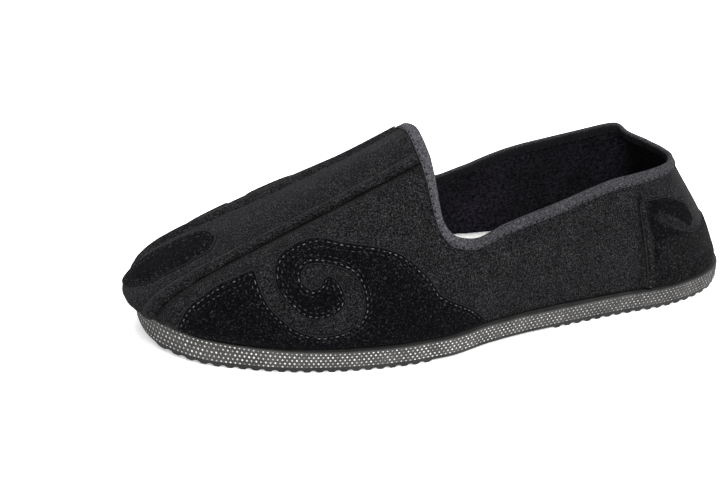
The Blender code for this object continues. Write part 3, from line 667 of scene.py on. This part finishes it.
for side, rib, node in ((1, BEAM_RIBS[0], "beam_lateral"), (-1, BEAM_RIBS[1], "beam_medial")):
    seam = np.array([rib])
    v = np.linspace(BEAM_START, height_below_collar(seam, BEAM_END)[0], BEAM_STEPS)[None, :]
    line = rib_points(seam, v)[0]
    across = unit(np.cross(np.gradient(line, axis=0), face_normals(seam, v)[0]))
    across *= np.sign(across[:, 1] * side)[:, None]
    steps = np.arange(len(line))
    spread = BEAM_SPREAD[0] - BEAM_SPREAD[1] * steps / len(line)
    columns = []
    for aside, height in BEAM_SECTION:
        wave = BEAM_RIPPLE[0] * np.sin(steps * BEAM_RIPPLE[1] + aside) + aside * spread
        spots, normals = on_felt(line + wave[:, None] * across)
        taper = np.ones(len(line))
        if height > 0.0:
            taper = fade(steps, *BEAM_TAPER)
        columns.append(spots + height * taper[:, None] * normals)
    beam = lay_grid("felt_" + node, np.stack(columns, axis=1))
    face_from_middle(beam, 1)
    thicken(beam, BEAM_WALL)
    dress(beam, felt, "upper_felt", node)

# Lining. Black cotton twill inside the felt, cut to the same shape and caught in the collar tape. It is faded
# along the sides, and painted shade makes it deeper black in the heel.
LINING_WALL = 0.4
LINING_LINES = 6
LINING_ROWS = (0.03, 0.985, 41)
# Heights v between which the lining comes nearer the felt, and by how much
LINING_EDGE = (0.8, 0.9)
LINING_NEAR = 0.7
LINING_OUT = LINING_WALL - UPPER_WALL
# Ribs from the heel's back between which the painted shade of the heel comes in
HEEL_SHADE_RIBS = (2.9, 2.2)
lining_lines = np.arange(0, 2 * TOE_RIB * LINING_LINES + 1) / LINING_LINES
lining_rows = np.tile(np.linspace(*LINING_ROWS), (len(lining_lines), 1))
lining_face = rib_points(lining_lines, lining_rows)
soft = sum(fold_depth(lining_face, *fold) for fold in FOLDS)
near_edge = LINING_NEAR * fade(lining_rows, *LINING_EDGE)
lining_out = (LINING_OUT + soft + near_edge)[..., None]
lining_face = lining_face + lining_out * face_normals(lining_lines, lining_rows)
from_heel = np.minimum(lining_lines, 2.0 * TOE_RIB - lining_lines)[:, None] + 0.0 * lining_rows
heel_shade = fade(from_heel, *HEEL_SHADE_RIBS)
lining = lay_grid("lining_twill", lining_face, heel_shade, uv=True)
face_from_middle(lining, -1)
thicken(lining, LINING_WALL)


def twill_lines(tree, along, across, lean):
    """Diagonal ribs of a twill on the piece's own cloth coordinates."""
    cloth = tree.nodes.new("ShaderNodeUVMap")
    cloth.uv_map = "cloth"
    turn = add_node(tree, "Mapping", cloth.outputs["UV"], Scale=(across, along, 1.0),
                    Rotation=(0.0, 0.0, math.radians(lean)))
    wave = add_node(tree, "TexWave", turn.outputs["Vector"], Scale=1.0, Distortion=0.8, Detail=1.0)
    return wave.outputs["Fac"]


twill, tree, shader, place = start_material("lining_cloth", (0.002, 0.002, 0.003), 0.95, 0.05)
ribs = twill_lines(tree, 90.0, 14.0, 35.0)
lines = add_ramp(tree, ribs, ((0.2, 0.75), (0.8, 1.2)))
lint = add_ramp(tree, add_noise(tree, 800.0, 5.0, place),
                ((0.36, (0.0012, 0.0011, 0.0016)), (0.68, (0.014, 0.0128, 0.0165))))
faded = add_ramp(tree, add_noise(tree, 45.0, 4.0, place),
                 ((0.32, (0.6, 0.58, 0.55)), (0.68, (1.35, 1.35, 1.45))))
# Painted shade: the lining is darker in the heel
heel = add_ramp(tree, add_mark(tree, "mark"), ((0.0, 1.0), (1.0, 0.25)))
finish_surface(tree, shader, multiply(tree, lint, lines, faded, heel), ribs, 0.3, 0.0003)
dress(lining, twill, "upper_felt")

# Toe patch, cloud scrolls and heel patch. Deep black velvet cut to outline, its edge turned under and sewn to
# the felt: scrolls with a row of grey and a row of dim thread, toe patch with dim thread, heel patch with
# black. Each scroll is cut in one piece round a turning felt channel.
VELVET_WALL = 0.5
VELVET_RISE = 0.65
EDGE_ROUND = 0.7
EDGE_RINGS = (0.25, 0.35)
OUTLINE_STEP = 0.8
PATH_STEP = 0.3
EDGE_STEP = 0.15
EDGE_GROW = 0.3
EDGE_SINK = 0.35
SHEET_STEP = 1.6
STITCH_LENGTH = 1.4
STITCH_PITCH = 2.5
STITCH_ROWS = (1.2, 2.8)
STITCH_THICK = 0.2
STITCH_OUT = 0.05
# Scroll in x and height, and its edges about the eye in degrees (from the toe side downward) and radius
SCROLL_FRONT = ((262.3, 16.3), (262.0, 20.0), (258.0, 27.5), (246.0, 36.7), (229.0, 44.1))
SCROLL_EYE = (207.0, 42.0)
EYE_RADIUS = 4.2
EYE_TURN = (300.0, 528.0)
SLOT_EDGE = ((6.0, 21.6), (45.0, 20.9), (90.0, 23.3), (135.0, 25.5), (160.0, 22.0), (180.0, 17.8),
             (200.0, 11.5), (220.0, 7.4), (250.0, 5.2), (290.0, 4.3))
HEAD_EDGE = ((190.0, 6.3), (178.0, 9.6), (160.0, 12.8), (135.0, 16.8), (90.0, 16.4), (45.0, 14.3),
             (6.0, 15.0))
CHANNEL = ((12.0, 18.6), (45.0, 17.8), (90.0, 20.0), (135.0, 21.4), (160.0, 17.8), (180.0, 14.0))
SCROLL_TOP = ((221.8, 43.0), (220.0, 47.2), (212.5, 52.0), (201.0, 55.2), (191.0, 54.0), (182.0, 53.0),
              (170.5, 49.5), (156.8, 37.0), (153.0, 30.6), (138.0, 21.0), (130.0, 12.2))
SOLE_LINE = 1.6
# Heel patch in ribs from the heel's back (times RIB_WIDTH) and height: front edge, lobe, slit
RIB_WIDTH = 17.0
HEEL_FRONT = ((3.52, 12.2), (3.47, 17.0), (3.54, 36.0), (3.58, 53.0))
HEEL_LOBE = ((3.50, 54.4), (2.85, 53.6), (2.2, 49.0), (1.80, 44.0), (1.80, 38.0), (2.15, 35.2))
HEEL_SLIT = ((2.50, 37.6), (2.80, 41.8), (3.08, 45.2), (3.14, 44.0), (2.86, 40.4), (2.55, 35.6), (2.1, 32.4))
HEEL_LOW = ((1.2, 31.0), (0.0, 30.5))
# Toe patch in ribs round the loop and height v on them
TONGUE_EDGE = ((13.68, 0.31), (13.62, 0.38), (13.56, 0.46), (13.57, 0.53), (13.74, 0.57), (14.0, 0.585),
               (14.3, 0.575), (14.5, 0.54), (14.57, 0.48), (14.61, 0.38), (14.64, 0.25), (14.64, 0.14),
               (14.56, 0.09), (14.4, 0.11), (14.2, 0.155), (14.0, 0.215), (13.84, 0.26), (13.68, 0.31))
RIB_ACROSS = 16.5
RIB_ALONG = 100.0
# Heel patch: below a height it has painted sheen, and along its front and its slit the turned edge stands up
# as a welt, with painted highlight, and a seam beside it. Bands: distance from the edge, half width, strength
HEEL_SHEEN_HEIGHT = 35.0
HEEL_FADE = 4.0
HEEL_SHEEN = 0.38
WELT = ((1.4, 0.9, 1.0),)
WELT_SEAM = ((3.1, 0.6, 1.0),)
WELT_HEIGHT = 0.7
WELT_SEAM_DEPTH = 0.4
WELT_SHEEN = 1.3
# Distance from the edge over which the mark rises from 0 to 1; a thin band by the edge gets a painted sheen
EDGE_MARK = 4.0
# Distances from the middle plane of a ray's start and of the stand-in for one that misses
RAY_START = 200.0
RAY_MISSED = 30.0


def path_through(points, per_span=10):
    """Smooth open path through a few points."""
    points = np.asarray(points, float)
    places = np.arange(len(points))
    return curve_through(places, points, np.linspace(0.0, places[-1], per_span * places[-1] + 1))


def around_eye(edge):
    """Path about the scroll's eye from rows of turn in degrees and radius."""
    turn, radius = path_through(edge).T
    angle = np.radians(turn)
    return np.column_stack([SCROLL_EYE[0] + radius * np.cos(angle), SCROLL_EYE[1] - radius * np.sin(angle)])


def even_path(path, step, closed=False):
    """Path walked in even steps."""
    path = np.concatenate([path, path[:1]]) if closed else path
    run = run_along(path)
    count = max(int(run[-1] / step), 2)
    walk = np.linspace(0.0, run[-1], count, endpoint=not closed)
    return np.column_stack([np.interp(walk, run, path[:, axis]) for axis in range(path.shape[1])])


def patch_outline(*edges):
    """Closed outline of a patch in even steps, its corners a little rounded, grown by the turned edge."""
    path = even_path(np.concatenate(edges), OUTLINE_STEP, closed=True)
    for _ in range(2):
        path = (np.roll(path, 1, axis=0) + path + np.roll(path, -1, axis=0)) / 3.0
    along = unit(np.roll(path, -1, axis=0) - np.roll(path, 1, axis=0))
    return path + EDGE_GROW * way_round(path) * np.column_stack([along[:, 1], -along[:, 0]])


def way_round(path):
    """1 for an outline that runs anticlockwise, -1 for one that runs clockwise."""
    return np.sign(np.sum(path[:, 0] * np.roll(path[:, 1], -1) - np.roll(path[:, 0], -1) * path[:, 1]))


def cut_sheet(outline):
    """Flat velvet cut to a closed outline, with two rings along its edge and a grid of close lines inside."""
    bm = bmesh.new()
    face = bm.faces.new([bm.verts.new((a, b, 0.0)) for a, b in outline])
    bm.normal_update()
    for width in EDGE_RINGS:
        bmesh.ops.inset_individual(bm, faces=[face], thickness=width, use_even_offset=True)
    bmesh.ops.triangulate(bm, faces=[face], ngon_method="EAR_CLIP")
    low, high = outline.min(axis=0), outline.max(axis=0)
    for axis in range(2):
        along = Vector((1.0 - axis, axis, 0.0))
        for place in np.arange(low[axis] + SHEET_STEP / 2.0, high[axis], SHEET_STEP):
            bmesh.ops.bisect_plane(bm, geom=bm.verts[:] + bm.edges[:] + bm.faces[:], dist=1e-5,
                                   plane_co=along * place, plane_no=along)
    bmesh.ops.remove_doubles(bm, verts=bm.verts, dist=1e-4)
    return bm


def lay_velvet(name, outline, lay, welts=(), sheen_below=-1e3):
    """Velvet sheet laid on the felt: lay(points) gives places in the frame and the felt's normals."""
    bm = cut_sheet(outline)
    flat = np.array([vert.co.xy for vert in bm.verts])
    edge = gap_to_path(flat, even_path(outline, EDGE_STEP, closed=True))
    near = np.clip(edge / EDGE_ROUND, 0.0, 1.0)
    rise = (VELVET_RISE + EDGE_SINK) * np.sqrt(1.0 - (1.0 - near) ** 2) - EDGE_SINK
    # Painted sheen: the heel patch is lighter below a height
    nap = np.clip((sheen_below - flat[:, 1]) / HEEL_FADE, 0.0, HEEL_SHEEN)
    for line in welts:
        gap = gap_to_path(flat, even_path(line, PATH_STEP))
        welt = bands(gap, WELT) * near
        seam = bands(gap, WELT_SEAM)
        rise += WELT_HEIGHT * welt - WELT_SEAM_DEPTH * seam
        # Painted highlight on the welt; the seam beside it keeps the deep colour
        nap = np.maximum(nap * (1.0 - seam), WELT_SHEEN * welt)
    places, normals = lay(flat)
    mark, sheen_layer = (bm.verts.layers.float.new(layer) for layer in ("mark", "nap"))
    for vert, place, normal, height, gap, light in zip(bm.verts, places, normals, rise, edge, nap):
        vert.co = place + 0.001 * height * normal
        vert[mark] = min(gap / EDGE_MARK, 1.0)
        # The nap attribute carries the painted sheen and highlight
        vert[sheen_layer] = light
    bmesh.ops.recalc_face_normals(bm, faces=bm.faces)
    if Vector(normals[0]).dot(bm.verts[:1][0].normal) < 0.0:
        bmesh.ops.reverse_faces(bm, faces=bm.faces)
    item = make_piece(name, bm)
    thicken(item, VELVET_WALL)
    return item


def sew_line(bm, ends, normals, thick):
    """Short thread stitches, each a slim bead from one end to the other, its thickness in millimetres."""
    for (start, end), normal in zip(ends, normals):
        along = Vector(end - start)
        if along.length < 1e-5:
            continue
        up = Vector(normal)
        aside = up.cross(along).normalized()
        up = along.cross(aside).normalized()
        turn = Matrix((aside, along.normalized(), up)).transposed().to_4x4()
        size = Matrix.Diagonal((0.001 * thick, along.length / 2.0, 0.0008 * thick, 1.0))
        spot = Matrix.Translation(Vector((start + end) / 2.0))
        bmesh.ops.create_uvsphere(bm, u_segments=6, v_segments=4, radius=1.0, matrix=spot @ turn @ size)


def sew_row(bm, row, lay, height, clear):
    """Row of stitches along a flat path, laid at a height over the felt where it is clear."""
    run = run_along(row)
    flat = []
    for place in np.arange(STITCH_PITCH / 2.0, run[-1] - STITCH_LENGTH, STITCH_PITCH):
        pair = np.searchsorted(run, (place, place + STITCH_LENGTH))
        if clear[pair[0]:pair[1] + 1].all():
            flat.append(row[pair])
    places, normals = lay(np.concatenate(flat))
    places = places + 0.001 * height * normals
    sew_line(bm, places.reshape(-1, 2, 3), normals.reshape(-1, 2, 3)[:, 0], STITCH_THICK)


def sew_edge(bm, outline, sewn, lay, inset):
    """Row of stitches along the sewn part of a patch's edge, set in from it."""
    path = even_path(sewn, PATH_STEP)
    along = unit(np.gradient(path, axis=0))
    inward = np.column_stack([-along[:, 1], along[:, 0]]) * way_round(outline)
    row = path + inset * inward
    clear = gap_to_path(row, even_path(outline, EDGE_STEP, closed=True)) > 0.93 * inset
    sew_row(bm, row, lay, VELVET_RISE + STITCH_OUT, clear)


def lay_on_side(side):
    """Lay for the side of the shoe: flat points are (x, z) and fall on the felt straight from that side."""
    def lay(flat):
        places, normals = [], []
        for x, z in flat:
            start = Vector(in_frame((x, side * RAY_START, z)))
            spot, normal, _, _ = felt_sheet.ray_cast(start, Vector((0.0, -side, 0.0)))
            if spot is None or spot.y * side < 0.0:
                spot, normal, _, _ = felt_sheet.find_nearest(Vector(in_frame((x, side * RAY_MISSED, z))))
            normal = normal if normal.y * side > 0.0 else -normal
            places.append(spot)
            normals.append(normal)
        return np.array(places), np.array(normals)
    return lay


def lay_on_ribs(places, v):
    """Places in the frame and normals of single points of the felt."""
    points, normals = felt_face(places, v[:, None])
    return in_frame(points[:, 0]), normals[:, 0]


def lay_on_heel(flat):
    """Lay for the heel: flat points are (rib times RIB_WIDTH, height)."""
    places = flat[:, 0] / RIB_WIDTH
    fine = np.linspace(0.0, 1.0, 61)
    heights = rib_points(places, np.tile(fine, (len(places), 1)))[:, :, 2]
    v = np.array([np.interp(z, row, fine) for z, row in zip(flat[:, 1], heights)])
    return lay_on_ribs(places, v)


def lay_on_toe(flat):
    """Lay for the strip: flat points are (ribs from the middle times RIB_ACROSS, v times RIB_ALONG)."""
    return lay_on_ribs(TOE_RIB + flat[:, 0] / RIB_ACROSS, flat[:, 1] / RIB_ALONG)


velvet, tree, shader, place = start_material("applique_velvet", (0.003, 0.003, 0.004), 0.95, 0.04)
add_sheen(shader, 0.02, 0.3, (0.4, 0.4, 0.46))
pile = add_noise(tree, 1300.0, 3.0, place)
# Deep and lit copies of the velvet, mixed by the nap attribute: painted sheen and highlight on the heel patch
deep = add_ramp(tree, pile, ((0.40, (0.0005, 0.0005, 0.0008)), (0.58, (0.0024, 0.0024, 0.0032)),
                             (0.74, (0.024, 0.024, 0.027))))
light = add_ramp(tree, pile, ((0.38, (0.003, 0.0028, 0.0028)), (0.58, (0.013, 0.0125, 0.0125)),
                              (0.74, (0.055, 0.054, 0.054))))
nap = add_mix(tree, add_mark(tree, "nap"), deep, light)
wear_and_shade = add_ramp(tree, add_noise(tree, 160.0, 4.0, place), ((0.3, (0.65, 0.65, 0.68)), (0.72, 1.25)))
# Painted sheen: a thin pale band just inside the turned edge
turned = add_ramp(tree, add_mark(tree, "mark"), ((0.03, 0.0), (0.08, 0.7), (0.17, 0.0)))
cloth = add_mix(tree, turned, multiply(tree, nap, wear_and_shade), (0.02, 0.02, 0.022))
finish_surface(tree, shader, cloth, pile, 0.5, 0.0005)


def thread_material(name, dark, light):
    """Twisted cotton thread."""
    material, tree, shader, place = start_material(name, light, 0.8, 0.05)
    twist = add_noise(tree, 450.0, 4.0, place)
    finish_surface(tree, shader, add_ramp(tree, twist, ((0.36, dark), (0.66, light))), twist, 0.3, 0.0002)
    return material


grey_thread = thread_material("grey_thread", (0.006, 0.006, 0.007), (0.13, 0.13, 0.133))
dim_thread = thread_material("dim_thread", (0.003, 0.003, 0.004), (0.045, 0.045, 0.047))
black_thread = thread_material("black_thread", 0.002, (0.008, 0.008, 0.009))

eye = [(turn, EYE_RADIUS) for turn in np.linspace(*EYE_TURN, 5)]
scroll_edge = np.concatenate([path_through(SCROLL_FRONT), around_eye(SLOT_EDGE), around_eye(eye),
                              around_eye(HEAD_EDGE), path_through(SCROLL_TOP)])
foot_x = np.linspace(132.0, 260.0, 33)
scroll_foot = np.column_stack([foot_x, SOLE_THICKNESS + SOLE_LINE + spring(foot_x)])
scroll_outline = patch_outline(scroll_edge, scroll_foot)
tongue_edge = (path_through(TONGUE_EDGE, 6)[:-1] - (TOE_RIB, 0.0)) * (RIB_ACROSS, RIB_ALONG)
heel_edge = np.concatenate([path_through(HEEL_FRONT, 8), path_through(HEEL_LOBE, 8),
                            path_through(HEEL_SLIT, 6), np.array(HEEL_LOW)]) * (RIB_WIDTH, 1.0)
heel_edge = np.concatenate([heel_edge, heel_edge[-2::-1] * (-1.0, 1.0)])
heel_foot = np.column_stack([np.linspace(-3.4, 3.4, 25) * RIB_WIDTH, np.full(25, SOLE_THICKNESS + SOLE_LINE)])
heel_fronts = [path_through(line, 8) * (RIB_WIDTH * side, 1.0) for line in (HEEL_FRONT, HEEL_SLIT[:3])
               for side in (1.0, -1.0)]
patches = (
    ("scroll_velvet_lateral", scroll_outline, scroll_edge, lay_on_side(1), "scroll_lateral"),
    ("scroll_velvet_medial", scroll_outline, scroll_edge, lay_on_side(-1), "scroll_medial"),
    ("toe_velvet_tongue", patch_outline(tongue_edge), tongue_edge, lay_on_toe, "toe_patch"),
    ("heel_velvet_wrap", patch_outline(heel_edge, heel_foot), heel_edge, lay_on_heel, "heel_patch"),
)
threads = {"heel_patch": (black_thread,), "toe_patch": (dim_thread, dim_thread)}
for name, outline, sewn, lay, node in patches:
    heel_only = (heel_fronts, HEEL_SHEEN_HEIGHT) if node == "heel_patch" else ()
    dress(lay_velvet(name, outline, lay, *heel_only), velvet, "applique_velvet", node)
    for row, thread in enumerate(threads.get(node, (grey_thread, dim_thread))):
        bm = bmesh.new()
        sew_edge(bm, outline, sewn, lay, STITCH_ROWS[row])
        dress(make_piece("%s_stitches_%d" % (name, row + 1), bm), thread, "applique_velvet")
bm = bmesh.new()
channel = even_path(around_eye(CHANNEL), PATH_STEP)
for side in (1, -1):
    sew_row(bm, channel, lay_on_side(side), STITCH_OUT, np.ones(len(channel), bool))
dress(make_piece("channel_stitches", bm), black_thread, "upper_felt")

# Collar binding. Grey cotton twill tape folded over the raw edge of felt and lining and sewn through with a
# row of dark stitches near its lower edge.
TAPE_WIDTH = 4.2
# The tape is paler at the throat: along the shoe from and to, then paleness from and to
THROAT_PALENESS = {"From Min": -0.006, "From Max": 0.006, "To Min": 1.0, "To Max": 1.62}
# Face of the tape inside the shoe, measured out from the plain face
INSIDE = -2.0
TAPE_RIPPLE = 0.1
TAPE_STITCH_OUT = 0.63
TAPE_STITCH_BELOW = 3.3
TAPE_STITCH_PITCH = 3.2
TAPE_STITCH_LENGTH = 1.4
TAPE_STITCH_THICK = 0.34
# Distance below the collar edge, distance out from the felt (or in past the lining), and painted shade: dark
# along the lower edge outside and over the inner face, with a lighter line near the inner face's lower edge
TAPE_SECTION = ((4.3, -0.2, 1.0), (4.2, 0.3, 0.9), (3.9, 0.6, 0.1), (3.0, 0.65, 0.0), (2.0, 0.65, 0.0),
                (1.0, 0.65, 0.0), (0.2, 0.65, 0.0), (-0.4, 0.45, 0.0), (-0.7, 0.0, 0.0), (-0.8, -0.7, 0.1),
                (-0.7, -1.4, 0.45), (-0.4, INSIDE + 0.15, 0.75), (0.2, INSIDE, 0.86), (2.0, INSIDE, 0.9),
                (3.2, INSIDE, 0.88), (3.7, INSIDE, 0.6), (4.0, INSIDE + 0.1, 0.7), (4.2, INSIDE + 0.4, 1.0),
                (4.2, INSIDE + 0.9, 1.0))
below = height_below_collar(felt_lines, TAPE_WIDTH)[:, None]
up = unit(rib_points(felt_lines, np.ones(below.shape)) - rib_points(felt_lines, below))
columns, marks = [], []
for distance, out, dark in TAPE_SECTION:
    v = height_below_collar(felt_lines, max(distance, 0.0))[:, None]
    points, normal = felt_face(felt_lines, v)
    if out < -1.0:
        points = rib_points(felt_lines, v)
    ripple = TAPE_RIPPLE * np.sin(felt_lines * 9.0) * (1.0 if distance > 0.0 else 0.4)
    columns.append(points + (out + ripple[:, None])[..., None] * normal + max(-distance, 0.0) * up)
    # Painted shade of the tape, kept in the mark
    marks.append(np.full((len(felt_lines), 1), dark))
binding = lay_grid("collar_tape", np.concatenate(columns + columns[:1], axis=1),
                   np.concatenate(marks + marks[:1], axis=1), uv=True)

tape, tree, shader, place = start_material("binding_twill", (0.04, 0.04, 0.043), 0.95, 0.05)
ribs = twill_lines(tree, 420.0, 26.0, 40.0)
lint = add_ramp(tree, add_noise(tree, 1500.0, 3.0, place),
                ((0.38, (0.4, 0.4, 0.41)), (0.55, (0.95, 0.95, 0.97)), (0.72, (2.0, 2.0, 2.05))))
weave = add_ramp(tree, ribs, ((0.2, (0.027, 0.027, 0.030)), (0.8, (0.052, 0.052, 0.056))))
station = add_node(tree, "SeparateXYZ", place).outputs["X"]
paler_at_throat = add_node(tree, "MapRange", station, "Value", **THROAT_PALENESS)
shown = multiply(tree, weave, lint, paler_at_throat.outputs["Result"])
# Painted shade: the mark darkens the tape's inner face and its lower edge outside
wear_and_shade = add_mix(tree, add_mark(tree, "mark"), shown, (0.005, 0.005, 0.006))
finish_surface(tree, shader, wear_and_shade, ribs, 0.5, 0.0003)
dress(binding, tape, "binding_twill", "collar_binding")

bm = bmesh.new()
fine = np.linspace(0.0, 2.0 * TOE_RIB, 2400, endpoint=False)
for out in (TAPE_STITCH_OUT, INSIDE - STITCH_OUT):
    row, normal = felt_face(fine, height_below_collar(fine, TAPE_STITCH_BELOW)[:, None], out)
    row, normal = row[:, 0], normal[:, 0] * np.sign(out)
    run = run_along(row)
    starts = np.arange(0.5, run[-1] - TAPE_STITCH_PITCH, TAPE_STITCH_PITCH)
    pairs = np.column_stack([np.searchsorted(run, starts), np.searchsorted(run, starts + TAPE_STITCH_LENGTH)])
    sew_line(bm, in_frame(row[pairs]), normal[pairs[:, 0]], TAPE_STITCH_THICK)
dress(make_piece("collar_tape_stitches", bm), black_thread, "binding_twill")

# Studio: a pale floor, soft light from above and from the camera's side, and the camera of the photograph,
# worked out for a frame of 720 by 478.
CAMERA_AZIMUTH = math.radians(164.3)
CAMERA_ELEVATION = math.radians(28.4)
CAMERA_ROLL = math.radians(0.77)
CAMERA_DISTANCE = 600.0
CAMERA_SHIFT = (36.6, 3.7)
CAMERA_TARGET = np.array([137.5, 0.0, 35.0])
FOCAL_PIXELS = 1317.9
FRAME_PIXELS = 720.0
SENSOR = 36.0
FLOOR_HALF = 16.0
FLOOR_GLOW = 0.4
SKY = 0.8
# Soft boxes: name, place, size, strength in watts
LAMPS = (("key", (-0.3, 0.9, 1.1), 1.0, 22.0), ("top", (0.1, -0.3, 1.3), 0.9, 17.0))

bm = bmesh.new()
bmesh.ops.create_grid(bm, x_segments=1, y_segments=1, size=FLOOR_HALF)
floor = make_piece("studio_floor", bm)
pale, _, shader, _ = start_material("pale_floor", 0.93, 0.8)
shader.inputs["Emission Color"].default_value = rgba(1.0)
shader.inputs["Emission Strength"].default_value = FLOOR_GLOW
floor.data.materials.append(pale)

world = bpy.data.worlds.new("studio")
world.use_nodes = True
sky = world.node_tree.nodes["Background"]
sky.inputs["Color"].default_value = rgba(1.0)
sky.inputs["Strength"].default_value = SKY
bpy.context.scene.world = world
for name, spot, size, watts in LAMPS:
    light = bpy.data.lights.new(name, "AREA")
    light.shape = "DISK"
    light.size = size
    light.energy = watts
    lamp = bpy.data.objects.new(name, light)
    lamp.location = spot
    lamp.rotation_euler = (-Vector(spot)).to_track_quat("-Z", "Y").to_euler()
    bpy.context.scene.collection.objects.link(lamp)

sin_a, cos_a = math.sin(CAMERA_AZIMUTH), math.cos(CAMERA_AZIMUTH)
sin_e, cos_e = math.sin(CAMERA_ELEVATION), math.cos(CAMERA_ELEVATION)
back = np.array([sin_a * cos_e, -cos_a * cos_e, sin_e])
right = np.array([cos_a, sin_a, 0.0])
above = np.cross(back, right)
right, above = (right * math.cos(CAMERA_ROLL) + above * math.sin(CAMERA_ROLL),
                above * math.cos(CAMERA_ROLL) - right * math.sin(CAMERA_ROLL))
spot = CAMERA_TARGET - right * CAMERA_SHIFT[0] - above * CAMERA_SHIFT[1] + back * CAMERA_DISTANCE
lens = bpy.data.cameras.new("camera")
lens.sensor_width = SENSOR
lens.lens = SENSOR * FOCAL_PIXELS / FRAME_PIXELS
camera = bpy.data.objects.new("camera", lens)
turn = Matrix((right, above, back)).transposed().to_4x4()
camera.matrix_world = Matrix.Translation(Vector(in_frame(spot))) @ turn
bpy.context.scene.collection.objects.link(camera)
bpy.context.scene.camera = camera
bpy.context.scene.view_settings.view_transform = "Standard"
